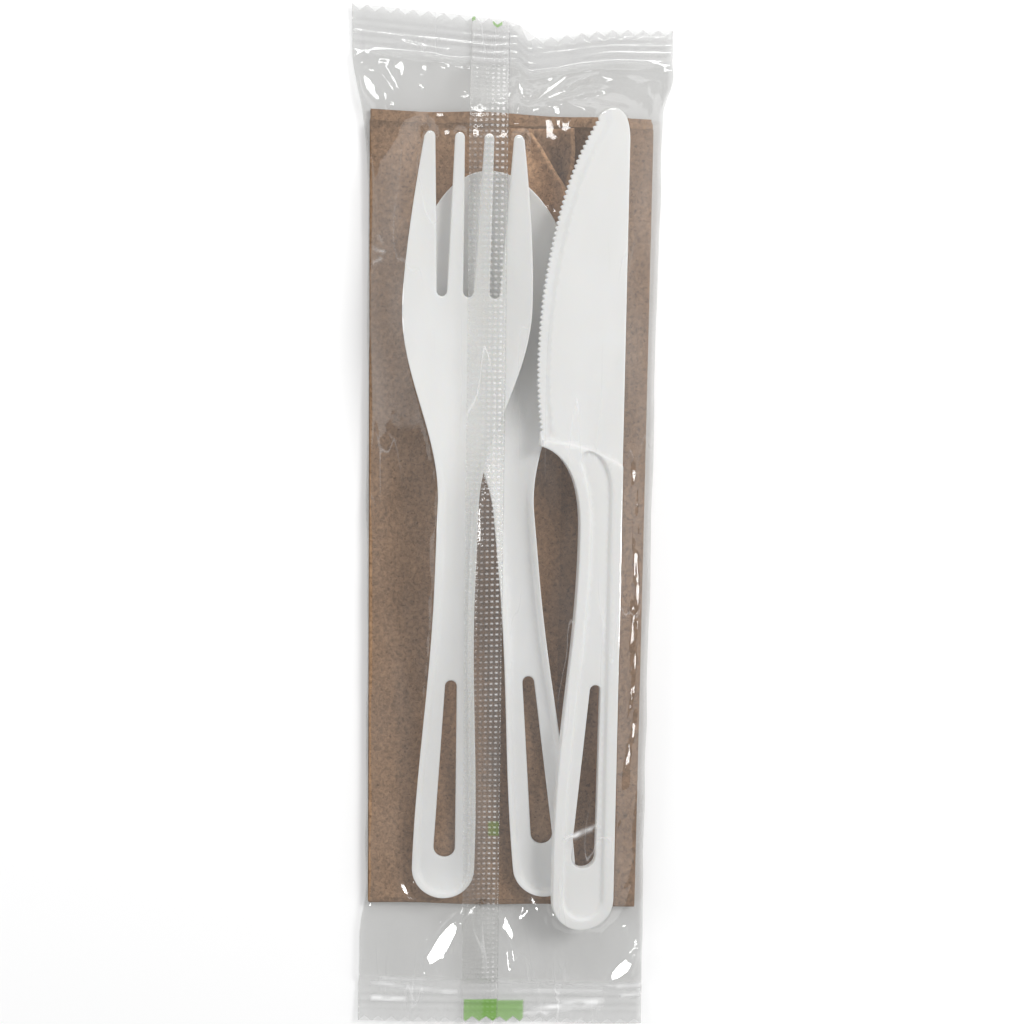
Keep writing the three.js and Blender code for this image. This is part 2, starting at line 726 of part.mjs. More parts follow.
const napkin = makeNapkin();
const spoon = place(makeSpoon(), SPOON_END, SPOON_TURN, 0);
settle(spoon, [napkin], false);
const fork = place(makeFork(), FORK_END, FORK_TURN, 0);
settle(fork, [napkin, spoon], true);
const knife = place(makeKnife(), KNIFE_END, KNIFE_TURN, KNIFE_ROLL);
settle(knife, [napkin, spoon, fork], true);
const film = makeFilm([napkin, spoon, fork, knife]);

const pack = new THREE.Group();
pack.add(film, napkin, spoon, fork, knife);

export default pack;
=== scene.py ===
"""Looks of a sealed cutlery pack: film, napkin, spoon, fork and knife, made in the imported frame."""
import math

import bpy
import numpy as np
from mathutils import Matrix, Vector
from mathutils.bvhtree import BVHTree
from mathutils.geometry import delaunay_2d_cdt


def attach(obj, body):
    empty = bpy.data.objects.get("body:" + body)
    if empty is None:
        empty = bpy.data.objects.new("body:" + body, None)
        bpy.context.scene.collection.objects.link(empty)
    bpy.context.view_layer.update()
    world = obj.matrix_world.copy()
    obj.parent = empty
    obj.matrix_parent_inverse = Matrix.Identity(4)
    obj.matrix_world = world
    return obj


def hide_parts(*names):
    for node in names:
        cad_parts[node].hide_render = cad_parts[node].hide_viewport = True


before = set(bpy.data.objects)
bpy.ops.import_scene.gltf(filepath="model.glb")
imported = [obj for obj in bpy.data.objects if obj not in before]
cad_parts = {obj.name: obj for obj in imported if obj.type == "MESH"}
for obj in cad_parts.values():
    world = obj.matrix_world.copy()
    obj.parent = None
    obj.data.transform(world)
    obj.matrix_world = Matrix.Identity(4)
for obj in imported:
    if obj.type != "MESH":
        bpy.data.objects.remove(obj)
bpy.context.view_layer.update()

# Sizes are in millimetres until a mesh is made
MM = 0.001

# Random values come from a square of this many a side, started far enough on that no place is below zero
LATTICE = 97
LATTICE_START = (500.37, 500.71)

# Film wrapper
PACK_LENGTH = 212.6
TOP_SEAL_WIDTH = 64.0
TOP_SEAL_HEIGHT = 9.0
BOTTOM_SEAL_WIDTH = 61.0
BOTTOM_SEAL_HEIGHT = 8.0
TOOTH_HEIGHT = 1.2
TOOTH_COUNT = 21
COLUMNS_PER_TOOTH = 6
BODY_HALF = 30.1
FIN_X = -0.6
FIN_WIDTH = 7.5
FIN_COLUMNS = 28
FIN_LIFTS = (0.34, 0.15)
KNURL_HEIGHT = 0.14
ROWS = 506
FIN_ROWS = 732
ROWS_PER_KNURL = 4
COLUMNS_PER_KNURL = 4
CRIMP_HEIGHT = 0.2
SEAL_LEVEL = 0.5
BACK_LEVEL = 0.06
SAG_AT_FIN = 3.0
SAG_DIP = 6.2
SAG_RIGHT = 4.5
DIP_X = 4.0
DIP_LENGTH = 18.0
LEFT_PULL = 1.35
FILM_GAP = 0.25
FILM_PULL = 0.0016
SIDE_LEVEL = 1.7
MEMBRANE_START = 0.6
MEMBRANE_ROUNDS = 2600
END_CURL_FROM = 88
END_CURL_LENGTH = 18
TOP_CURL = 1.5
BOTTOM_CURL = 1.2
CONTENTS_TOP = 85.7
LOOSE_TOP = 84
LOOSE_BOTTOM = -78
BROAD_FACETS = (7.0, 10.0)
SMALL_FACETS = (3.6, 5.2)
STREAK_REACH = 2
ABOVE_PACK = 60
ABOVE_FACETS = 5

# Green ink: the block in the bottom seal, a faint square on the fin and two dots in the top seal
INK_TOP = -101.3
INK_BOTTOM = -105.9
INK_RIGHT = 5.3
INK_LEFT = -7.7
INK_LAP = -3.8
FAINT_INK_BOTTOM = -63
FAINT_INK_TOP = -59.6
FAINT_INK_LEFT = -2.8
FAINT_INK_SHARE = 0.4
TOP_INK_X = -5.7
TOP_INK_APART = 2.7
TOP_INK_HEIGHT = 0.8

# Napkin
NAPKIN_WIDTH = 57.0
NAPKIN_TOP = 84.9
NAPKIN_BOTTOM = -79.7
NAPKIN_STEP = 2.1
NAPKIN_MIDDLE = 1.5
LEAF_PITCH = 0.18
LEAVES = 6
BACK_TONE = 1.25
FOLD_TONE = 1.05

# Free edges of the two loose leaves, as heights up the pack and places across it
MIDDLE_EDGE = ((-80, 10.6), (60, 10.6), (72.3, 11.9), (74.7, 12.6), (77.9, 12.8), (82.2, 12.5))
FRONT_EDGE = ((-80, 11.2), (66, 11.3), (69.7, 11.4), (70.9, 10.9), (73.8, 8.9), (78.3, 6.2), (81.2, 4.1))

# How far each loose leaf curls, from where up the pack, its tone and how much painted light brightens its
# upper end; the front leaf's lighter tone is painted light too
MIDDLE_LEAF = (2.4, 64, 1.0, 0.15)
FRONT_LEAF = (2.2, 60, 1.14, 0.8)

# Handles of the spoon and the fork
WALL = 1.3
HANDLE_END_WIDTH = 13.1
HANDLE_END = HANDLE_END_WIDTH / 2
HANDLE_WAIST_WIDTH = 8.2
HANDLE_FLARE = 63.0
HANDLE_TROUGH = 1.6
NECK_HEIGHT = 6.0
SLOT_TOP = 47.8
SLOT_TOP_WIDTH = 2.4
SLOT_END_WIDTH = 4.5
EDGE_ROUND = 0.32
CHANNEL_DEPTH = 0.8
CHANNEL_RIM = 0.9
CHANNEL_SLOPE = 0.55
CHANNEL_FADE = 24

# Mouldings: steps round an edge, and how clear of the edge other points stay
ROUND_STEPS = (0, 0.08, 0.3, 0.62, 1)
LINE_CLEAR = 1.15
FILL_CLEAR = 0.4

# Spoon
SPOON_LENGTH = 150.5
BOWL_WIDTH = 32.1
BOWL_FRONT = 26.4
BOWL_SHOULDER = 42.0
BOWL_DEPTH = 4.8
SPOON_SLOT_BOTTOM = 11.0
SPOON_AT = (9.6, -76.4, 3.05)
SPOON_TURNS = (0.0, 0.0, 0.097738)

# Fork
FORK_LENGTH = 157.8
HEAD_WIDTH = 25.7
HEAD_LENGTH = 33.5
HEAD_SHOULDER = 39.0
HEAD_DISH = 3.0
TIP_DISH = 1.0
TIP_RISE = 3.2
TIP_TAPER = 1.6
TINE_COUNT = 4
TINE_TIP_WIDTH = 1.9
TINE_TIP_PITCH = 5.7
TINE_GAP_WIDTH = 2.1
TINE_GAP_PITCH = 5.26
TINE_GAP_ROOT = 126.0
FORK_SLOT_BOTTOM = 8.4
FORK_AT = (-12.5, -77.1, 2.6968)
FORK_TURNS = (0.045312, 0.0, -0.034907)

# Knife
KNIFE_LENGTH = 168.6
KNIFE_END_WIDTH = 13.0
KNIFE_WAIST_WIDTH = 8.65
KNIFE_THICKNESS = 2.6
KNIFE_RIM = 2.4
KNIFE_FLARE_TOP = 0.7
KNIFE_FLARE_END = 0.52
PANEL_DEPTH = 0.8
BLADE_THICKNESS = 1.4
BLADE_WIDTH = 17.8
BLADE_HEEL = 102.4
TIP_ROUND = 6.4
BLADE_EDGE = ((0.955, 0.04), (1, 0.22), (0.95, 0.45), (0.8, 0.67), (0.6, 0.84))
EDGE_BAND = 2.2
EDGE_THICKNESS = 0.8
SERRATION_PITCH = 1.03
SERRATION_DEPTH = 0.5
SERRATION_SHAPE = (0, 0.35, 1, 0.35)
KNIFE_EDGE_ROUND = 0.3
KNIFE_AT = (23.2, -82.6, 4.7376)
KNIFE_TURNS = (0.031024, 0.174533, 0.001745)

# Knife's slot: its bottom, its width there, its top, its width there and how far it leans
KNIFE_SLOT = (13.4, 5.2, 52.8, 2.2, 1.8)

# Camera, as the photograph was taken
CAMERA_AIM = (1.2, 4.5, 0.0)
CAMERA_DISTANCE = 350.0
CAMERA_LEAN = 0.136
CAMERA_ROLL = math.radians(-0.8)
CAMERA_LENS = 59.3

# Floor, in millimetres but for its drop in metres, and the light from all round
FLOOR_HALF = 3000
FLOOR_DROP = 0.00002
SKY_STRENGTH = 0.4

# Lamps in metres: place, what each is aimed at, size, power and whether the film mirrors it
LAMPS = {
    "key": ((0.42, 0.3, 0.5), (0, 0, 0), (0.24, 0.24), 3.5, False),
    "far": ((0.0, 0.55, 0.42), (0, 0.05, 0), (0.36, 0.11), 0.9, True),
    "near": ((-0.42, -0.5, 0.33), (0, -0.05, 0), (0.07, 0.07), 0.3, True),
    "left": ((-0.6, 0.05, 0.26), (0, 0, 0), (0.1, 0.4), 1.4, False),
    "right": ((0.6, -0.15, 0.28), (0, 0, 0), (0.06, 0.3), 0.5, True),
}


# Numbers and curves

def ease(start, end, share):
    """A smooth step from one value to another, level at both ends."""
    return start + (end - start) * (1 - np.cos(np.pi * np.clip(share, 0, 1))) / 2


def noise(x, y, scale, seed):
    """Smooth random values from 0 to 1 over a plane."""
    lattice = np.random.default_rng(seed).random((LATTICE, LATTICE))
    u = np.asarray(x) / scale + LATTICE_START[0]
    v = np.asarray(y) / scale + LATTICE_START[1]
    i = np.floor(u).astype(int)
    j = np.floor(v).astype(int)
    a = ease(0, 1, u - i)
    b = ease(0, 1, v - j)

    def row(j):
        return lattice[i % LATTICE, j % LATTICE] * (1 - a) + lattice[(i + 1) % LATTICE, j % LATTICE] * a
    return row(j) * (1 - b) + row(j + 1) * b


def arc(x, y, radius, start, end, steps=24):
    angles = np.linspace(start, end, steps)
    return np.column_stack([x + radius * np.cos(angles), y + radius * np.sin(angles)])


def bezier(points, steps=24):
    """A curve with two, three or four control points."""
    share = np.linspace(0, 1, steps)[:, None]
    rows = [np.asarray(point, float)[None, :] for point in points]
    while len(rows) > 1:
        rows = [a * (1 - share) + b * share for a, b in zip(rows, rows[1:])]
    return rows[0]


def spline(points, steps=160):
    """A smooth curve through points."""
    line = np.asarray(points, float)
    padded = np.vstack([line[:1], line, line[-1:]])
    parts = []
    for k in range(len(line) - 1):
        a, b, c, d = padded[k:k + 4]
        t = np.linspace(0, 1, steps // (len(line) - 1), endpoint=False)[:, None]
        turn = 2 * a - 5 * b + 4 * c - d
        parts.append(0.5 * (2 * b + (c - a) * t + turn * t ** 2 + (3 * b - a - 3 * c + d) * t ** 3))
    return np.vstack(parts + [line[-1:]])


def read_at(rows, run, at):
    """Rows of numbers, read at other places along their run."""
    return np.column_stack([np.interp(at, run, column) for column in rows.T])


def to_right(line):
    """The way to the right of a line at each of its points."""
    along = np.gradient(line, axis=0)
    along /= np.linalg.norm(along, axis=1, keepdims=True)
    return np.column_stack([along[:, 1], -along[:, 0]])


def resample(points, spacing, closed=True):
    """Points spaced evenly along a line."""
    line = np.asarray(points, float)
    if closed:
        line = np.vstack([line, line[:1]])
    steps = np.hypot(*np.diff(line, axis=0).T)
    run = np.concatenate([[0], np.cumsum(steps)])
    count = max(int(round(run[-1] / spacing)), 8)
    at = np.linspace(0, run[-1], count + 1)
    if closed:
        at = at[:-1]
    return read_at(line, run, at)


def wound(loop, anticlockwise):
    x, y = loop.T
    area = np.sum(x * np.roll(y, -1) - np.roll(x, -1) * y)
    return loop if (area > 0) == anticlockwise else loop[::-1]


def inset(loop, distance):
    """A loop moved to its left by a distance."""
    before = loop - np.roll(loop, 1, axis=0)
    after = np.roll(loop, -1, axis=0) - loop
    before /= np.linalg.norm(before, axis=1, keepdims=True)
    after /= np.linalg.norm(after, axis=1, keepdims=True)
    both = before + after
    normal = np.column_stack([-both[:, 1], both[:, 0]])
    normal /= np.maximum(np.linalg.norm(normal, axis=1, keepdims=True), 1e-9)
    facing = np.sum(normal * np.column_stack([-before[:, 1], before[:, 0]]), axis=1)
    return loop + normal * (distance / np.clip(facing, 0.6, 1))[:, None]


def inside(points, loop):
    """Which points lie in a loop."""
    found = np.zeros(len(points), bool)
    x0, y0 = loop.T
    x1, y1 = np.roll(loop, -1, axis=0).T
    slope = (x1 - x0) / np.where(y1 == y0, 1e-12, y1 - y0)
    for start in range(0, len(points), 4000):
        x = points[start:start + 4000, 0:1]
        y = points[start:start + 4000, 1:2]
        crosses = ((y0 > y) != (y1 > y)) & (x < x0 + slope * (y - y0))
        found[start:start + 4000] = crosses.sum(axis=1) % 2 == 1
    return found


def distance(points, line):
    """The distance from each point to an open line."""
    result = np.empty(len(points))
    start = line[:-1]
    along = line[1:] - start
    length = np.maximum((along ** 2).sum(axis=1), 1e-12)
    for first in range(0, len(points), 2000):
        offset = points[first:first + 2000, None, :] - start[None]
        share = np.clip((offset * along).sum(axis=2) / length, 0, 1)
        gap = offset - share[..., None] * along
        result[first:first + 2000] = np.sqrt((gap ** 2).sum(axis=2)).min(axis=1)
    return result


def closed_line(loop):
    return np.vstack([loop, loop[:1]])


# Meshes

def placed(points, at, turns):
    """Points turned and moved to where the piece lies in the pack."""
    about_x, about_y, about_z = (Matrix.Rotation(turn, 3, axis) for turn, axis in zip(turns, "XYZ"))
    return points @ np.array(about_x @ about_y @ about_z).T + np.array(at)


def new_piece(name, points, faces, material):
    mesh = bpy.data.meshes.new(name)
    mesh.from_pydata((points * MM).tolist(), [], faces)
    mesh.update()
    mesh.polygons.foreach_set("use_smooth", [True] * len(mesh.polygons))
    mesh.materials.append(material)
    piece = bpy.data.objects.new(name, mesh)
    bpy.context.scene.collection.objects.link(piece)
    return piece


def add_values(piece, name, values):
    """Numbers stored on a piece's points, for its material."""
    piece.data.attributes.new(name, "FLOAT", "POINT").data.foreach_set("value", values.ravel())


def moulding(outline, holes, heights, edge_round, grid, lines=()):
    """A moulded plate with rounded edges: its points and faces. heights gives its top and its underside."""
    loops = [wound(outline, True)] + [wound(hole, False) for hole in holes]
    insets = edge_round * np.array(ROUND_STEPS)
    drops = edge_round - np.sqrt(np.maximum(edge_round ** 2 - (edge_round - insets) ** 2, 0))
    flat = []
    drop = []
    edges = []
    rims = []
    count = 0
    for loop in loops:
        for depth, fall in zip(insets, drops):
            ring = inset(loop, depth)
            numbers = np.arange(count, count + len(ring))
            edges += list(zip(numbers.tolist(), np.roll(numbers, -1).tolist()))
            if depth == 0:
                rims.append(numbers)
            flat.append(ring)
            drop.append(np.full(len(ring), fall))
            count += len(ring)
    flat += [line[clear_of(line, loops, edge_round * LINE_CLEAR)] for line in lines]
    low = loops[0].min(axis=0)
    high = loops[0].max(axis=0)
    columns, rows = np.meshgrid(np.arange(low[0], high[0], grid), np.arange(low[1], high[1], grid))
    columns = columns + np.where(np.arange(len(columns)) % 2, grid / 2, 0)[:, None]
    fill = np.column_stack([columns.ravel(), rows.ravel()])
    flat = np.vstack(flat + [fill[clear_of(fill, loops, edge_round + grid * FILL_CLEAR)]])
    drop = np.concatenate(drop + [np.zeros(len(flat) - count)])
    made = delaunay_2d_cdt([Vector(point) for point in flat.tolist()], edges, [], 0, 1e-6)
    plan = np.array([tuple(vertex) for vertex in made[0]])
    plan_drop = np.array([drop[source[0]] if source else 0.0 for source in made[3]])
    place = {source: number for number, sources in enumerate(made[3]) for source in sources}
    triangles = np.array(made[2])
    middle = plan[triangles].mean(axis=1)
    kept = inside(middle, loops[0])
    for hole in loops[1:]:
        kept &= ~inside(middle, hole)
    triangles = triangles[kept]
    top, under = heights(plan[:, 0], plan[:, 1])
    size = len(plan)
    points = np.vstack([
        np.column_stack([plan, top - plan_drop]),
        np.column_stack([plan, under + plan_drop]),
    ])
    faces = triangles.tolist() + (triangles[:, ::-1] + size).tolist()
    for rim in rims:
        numbers = [place[number] for number in rim.tolist()]
        for a, b in zip(numbers, numbers[1:] + numbers[:1]):
            faces.append([b, a, a + size, b + size])
    return points, faces


def clear_of(points, loops, gap):
    """Which points lie in the plate and clear of its edges."""
    clear = inside(points, loops[0])
    for hole in loops[1:]:
        clear &= ~inside(points, hole)
    for loop in loops:
        clear &= distance(points, closed_line(loop)) > gap
    return clear


# Handle that the spoon and the fork share

def handle_half(y):
    cap = np.sqrt(np.maximum(HANDLE_END ** 2 - (HANDLE_END - y) ** 2, 0))
    body = ease(HANDLE_END, HANDLE_WAIST_WIDTH / 2, (y - HANDLE_END) / HANDLE_FLARE)
    return np.where(y < HANDLE_END, cap, body)


def handle_centre(y, neck):
    to_end = np.maximum(HANDLE_END - y, 0) / HANDLE_END
    return ease(WALL, NECK_HEIGHT, y / neck) + HANDLE_TROUGH * to_end ** 2


def handle_dish(y):
    return np.where(y < HANDLE_END, HANDLE_TROUGH * (handle_half(y) / HANDLE_END) ** 2, HANDLE_TROUGH)


def tapered_slot(x, bottom, bottom_width, top, top_width, lean=0.0):
    low = bottom_width / 2
    high = top_width / 2
    upper = arc(x + lean, top - high, high, 0, math.pi)
    lower = arc(x, bottom + low, low, math.pi, 2 * math.pi)
    return resample(np.vstack([upper, lower]), 0.45)


def handle_end():
    """Heights up the round end of a handle, close together where it turns."""
    return HANDLE_END * (1 - np.cos(np.linspace(0, math.pi / 2, 24)))


def channelled(heights, outline, neck):
    """Heights with a channel pressed into the handle between its two rims."""
    def both(x, y):
        top, under = heights(x, y)
        inward = distance(np.column_stack([x, y]), closed_line(outline))
        depth = CHANNEL_DEPTH * ease(0, 1, (inward - CHANNEL_RIM) / CHANNEL_SLOPE)
        return top - depth * ease(1, 0, (y - neck) / CHANNEL_FADE + 0.5), under
    return both


def channel_lines(outline, neck):
    """Places close together along the channel's two slopes."""
    loop = wound(outline, True)
    rings = [inset(loop, CHANNEL_RIM + CHANNEL_SLOPE * share) for share in (0, 0.33, 0.67, 1)]
    return [ring[ring[:, 1] < neck + CHANNEL_FADE / 2 + 2] for ring in rings]


def head_half(y, head, neck, length, half, front):
    """Half the width of a spoon or a fork: its handle, its shoulder and the front of its head."""
    shoulder = ease(handle_half(np.array(neck)), half, (y - neck) / length)
    return np.where(y > head, front, np.where(y < neck, handle_half(y), shoulder))


def dished(x, half, centre, dish):
    """The top and the underside of a wall that rises to both sides."""
    across = np.clip(np.abs(x) / np.maximum(half, 1e-6), 0, 1)
    top = centre + dish * across ** 2
    return top, top - WALL


def handled(outline, heights, neck, slot_bottom, grid, at, turns):
    """A spoon or a fork with its slot and its channel, where it lies in the pack."""
    slot = tapered_slot(0, slot_bottom, SLOT_END_WIDTH, SLOT_TOP, SLOT_TOP_WIDTH)
    pressed = channelled(heights, outline, neck)
    points, faces = moulding(outline, [slot], pressed, EDGE_ROUND, grid, channel_lines(outline, neck))
    return placed(points, at, turns), faces


# Spoon

SPOON_BOWL = SPOON_LENGTH - BOWL_FRONT
SPOON_NECK = SPOON_BOWL - BOWL_SHOULDER


def spoon_half(y):
    forward = np.clip((y - SPOON_BOWL) / BOWL_FRONT, 0, 1)
    front = BOWL_WIDTH / 2 * np.sqrt(1 - forward ** 2)
    return head_half(y, SPOON_BOWL, SPOON_NECK, BOWL_SHOULDER, BOWL_WIDTH / 2, front)


def spoon_heights(x, y):
    forward = np.clip((y - SPOON_BOWL) / BOWL_FRONT, 0, 1)
    share = (y - SPOON_NECK) / BOWL_SHOULDER
    shoulder = ease(NECK_HEIGHT, WALL, share)
    centre = np.where(y < SPOON_NECK, handle_centre(y, SPOON_NECK), shoulder)
    centre = np.where(y > SPOON_BOWL, WALL + BOWL_DEPTH * forward ** 2, centre)
    rim = ease(NECK_HEIGHT + HANDLE_TROUGH, WALL + BOWL_DEPTH, share)
    dish = np.where(y < SPOON_NECK, handle_dish(y), rim - centre)
    return dished(x, spoon_half(y), centre, dish)


def spoon_mesh():
    front = SPOON_BOWL + BOWL_FRONT * np.sin(np.linspace(0, math.pi / 2, 40))
    y = np.concatenate([handle_end(), np.linspace(HANDLE_END, SPOON_BOWL, 200)[1:], front[1:]])
    right = np.column_stack([spoon_half(y), y])
    outline = resample(np.vstack([right, right[::-1] * [-1, 1]]), 0.5)
    return handled(outline, spoon_heights, SPOON_NECK, SPOON_SLOT_BOTTOM, 0.9, SPOON_AT, SPOON_TURNS)


# Fork

FORK_HEAD = FORK_LENGTH - HEAD_LENGTH
FORK_NECK = FORK_HEAD - HEAD_SHOULDER
FORK_TIP_HALF = ((TINE_COUNT - 1) * TINE_TIP_PITCH + TINE_TIP_WIDTH) / 2


def fork_half(y):
    forward = np.clip((y - FORK_HEAD) / HEAD_LENGTH, 0, 1)
    front = HEAD_WIDTH / 2 + (FORK_TIP_HALF - HEAD_WIDTH / 2) * forward ** TIP_TAPER
    return head_half(y, FORK_HEAD, FORK_NECK, HEAD_SHOULDER, HEAD_WIDTH / 2, front)


def fork_heights(x, y):
    forward = np.clip((y - FORK_HEAD) / HEAD_LENGTH, 0, 1)
    share = (y - FORK_NECK) / HEAD_SHOULDER
    centre = np.where(y < FORK_NECK, handle_centre(y, FORK_NECK), ease(NECK_HEIGHT, WALL, share))
    centre = np.where(y > FORK_HEAD, WALL + TIP_RISE * forward ** 2, centre)
    dish = np.where(y < FORK_NECK, handle_dish(y), ease(HANDLE_TROUGH, HEAD_DISH, share))
    dish = np.where(y > FORK_HEAD, ease(HEAD_DISH, TIP_DISH, forward), dish)
    return dished(x, fork_half(y), centre, dish)


def fork_mesh():
    tip = TINE_TIP_WIDTH / 2
    root = TINE_GAP_WIDTH / 2
    y = np.concatenate([handle_end(), np.linspace(HANDLE_END, FORK_LENGTH - tip, 260)[1:]])
    right = np.column_stack([fork_half(y), y])
    parts = [right]
    for number in range(TINE_COUNT - 1, -1, -1):
        tine = (number - (TINE_COUNT - 1) / 2) * TINE_TIP_PITCH
        parts.append(arc(tine, FORK_LENGTH - tip, tip, 0, math.pi))
        if number > 0:
            gap = (number - TINE_COUNT / 2) * TINE_GAP_PITCH
            parts.append(arc(gap, TINE_GAP_ROOT + root, root, 0, -math.pi))
    parts.append(right[::-1] * [-1, 1])
    outline = resample(np.vstack(parts), 0.45)
    return handled(outline, fork_heights, FORK_NECK, FORK_SLOT_BOTTOM, 0.8, FORK_AT, FORK_TURNS)


# Knife

def knife_edge():
    points = [(-BLADE_WIDTH * a, BLADE_HEEL + (KNIFE_LENGTH - BLADE_HEEL) * b) for a, b in BLADE_EDGE]
    return spline(points + [(-TIP_ROUND, KNIFE_LENGTH - TIP_ROUND / 3)])


def serrated(edge):
    """The cutting edge with its teeth."""
    teeth = int(round(np.hypot(*np.diff(edge, axis=0).T).sum() / SERRATION_PITCH))
    line = resample(edge, SERRATION_PITCH / 4, closed=False)
    line = read_at(line, np.arange(len(line)), np.linspace(0, len(line) - 1, 4 * teeth + 1))
    depth = SERRATION_DEPTH * np.array(SERRATION_SHAPE)[np.arange(len(line)) % 4]
    return line + to_right(line) * depth[:, None]


KNIFE_WAIST_Y = BLADE_HEEL - 2 * KNIFE_WAIST_WIDTH


def knife_handle_side(inward):
    """The side of the handle away from its spine, and its round end."""
    waist = inward - KNIFE_WAIST_WIDTH
    end = inward - KNIFE_END_WIDTH
    middle = KNIFE_END_WIDTH / 2
    side = bezier([
        (waist, KNIFE_WAIST_Y),
        (waist, KNIFE_WAIST_Y * KNIFE_FLARE_TOP),
        (end, KNIFE_WAIST_Y * KNIFE_FLARE_END),
        (end, KNIFE_END_WIDTH),
    ], 60)
    return np.vstack([side, arc(-middle, middle, middle - inward, math.pi, 2 * math.pi, 40)])


def bolster():
    """The curve where the handle meets the blade, from the spine to the heel."""
    heel = knife_edge()[0, 0]
    top = BLADE_HEEL + 1
    return bezier([(0, BLADE_HEEL - KNIFE_WAIST_WIDTH / 2), (heel / 2, top), (heel, top)], 40)


def panel_loop():
    """The sunken panel, inside a rim of even width."""
    top = BLADE_HEEL - KNIFE_RIM / 2
    low = top - KNIFE_WAIST_WIDTH
    corner = -KNIFE_WAIST_WIDTH
    turn = (corner, top - KNIFE_RIM)
    waist = KNIFE_RIM - KNIFE_WAIST_WIDTH
    return np.vstack([
        bezier([(-KNIFE_RIM, low), (-KNIFE_RIM, top), (corner, top + KNIFE_RIM), turn]),
        bezier([turn, (waist, low), (waist, KNIFE_WAIST_Y)]),
        knife_handle_side(KNIFE_RIM),
    ])


def knife_outline():
    edge = serrated(knife_edge())
    heel = knife_edge()[0]
    tip = edge[-1]
    top = KNIFE_LENGTH + TIP_ROUND / 8
    spine = np.array([(0, KNIFE_END_WIDTH / 2), (0, KNIFE_LENGTH - TIP_ROUND)])
    nose = bezier([(0, KNIFE_LENGTH - TIP_ROUND), (0, top), (tip[0] + TIP_ROUND / 3, top), tuple(tip)])
    shoulder = bezier([
        (heel[0], BLADE_HEEL),
        (-KNIFE_WAIST_WIDTH, BLADE_HEEL - KNIFE_RIM),
        (-KNIFE_WAIST_WIDTH, KNIFE_WAIST_Y),
    ])
    smooth_up = resample(np.vstack([spine, nose]), 0.45, closed=False)
    smooth_down = resample(np.vstack([shoulder, knife_handle_side(0)]), 0.45, closed=False)
    return np.vstack([smooth_up[:-1], edge[::-1], smooth_down[:-1]])


def knife_heights(x, y):
    points = np.column_stack([x, y])
    middle = KNIFE_THICKNESS / 2
    curve = bolster()
    order = np.argsort(curve[:, 0])
    handle = ease(0, 1, (np.interp(x, curve[order, 0], curve[order, 1]) - y) / 0.5 + 0.5)
    half = BLADE_THICKNESS / 2 + (KNIFE_THICKNESS - BLADE_THICKNESS) / 2 * handle
    to_edge = distance(points, knife_edge())
    band = ease(1, 0, (to_edge - EDGE_BAND) / 0.3 + 0.5) * (1 - handle)
    half = half - (BLADE_THICKNESS - EDGE_THICKNESS) / 2 * band
    panel = panel_loop()
    depth = distance(points, closed_line(panel)) * np.where(inside(points, panel), 1, -1)
    sunk = PANEL_DEPTH * ease(0, 1, depth / 0.6 + 0.5)
    return middle + half - sunk, middle - half


def knife_mesh():
    slot = tapered_slot(-KNIFE_END_WIDTH / 2, *KNIFE_SLOT)
    panel = wound(resample(panel_loop(), 0.45), True)
    curve = resample(bolster(), 0.45, closed=False)
    edge = resample(knife_edge(), 0.45, closed=False)
    inward = to_right(edge)
    lines = [inset(panel, step) for step in (-0.3, -0.1, 0.1, 0.3)]
    lines += [curve + [0, step] for step in (-0.25, 0, 0.25)]
    lines += [edge + inward * (EDGE_BAND + step) for step in (-0.15, 0.15)]
    points, faces = moulding(knife_outline(), [slot], knife_heights, KNIFE_EDGE_ROUND, 0.9, lines)
    return placed(points, KNIFE_AT, KNIFE_TURNS), faces


# Paper napkin: one sheet, folded to and fro across the pack and then doubled at the bottom

def grid_faces(rows, columns, start=0):
    i, j = np.meshgrid(np.arange(rows - 1), np.arange(columns - 1), indexing="ij")
    a = (start + i * columns + j).ravel()
    return np.column_stack([a, a + 1, a + columns + 1, a + columns]).tolist()


def napkin_section():
    """Across the folded sheet: its place across the pack and its height from the fold's middle."""
    rng = np.random.default_rng(5)
    across = []
    heights = []
    for leaf in range(LEAVES):
        side = 1 if leaf % 2 == 0 else -1
        half = NAPKIN_WIDTH / 2 - 0.15 - rng.random() * 0.5
        height = LEAF_PITCH * (leaf + 0.5)
        x = np.linspace(-side * half, side * half, 40)
        across.append(x)
        heights.append(np.full(len(x), height))
        if leaf + 1 < LEAVES:
            angles = np.linspace(-math.pi / 2, math.pi / 2, 5)[1:-1]
            across.append(side * (half + LEAF_PITCH / 2 * np.cos(angles)))
            heights.append(height + LEAF_PITCH / 2 * (1 + np.sin(angles)))
    return np.concatenate(across), np.concatenate(heights)


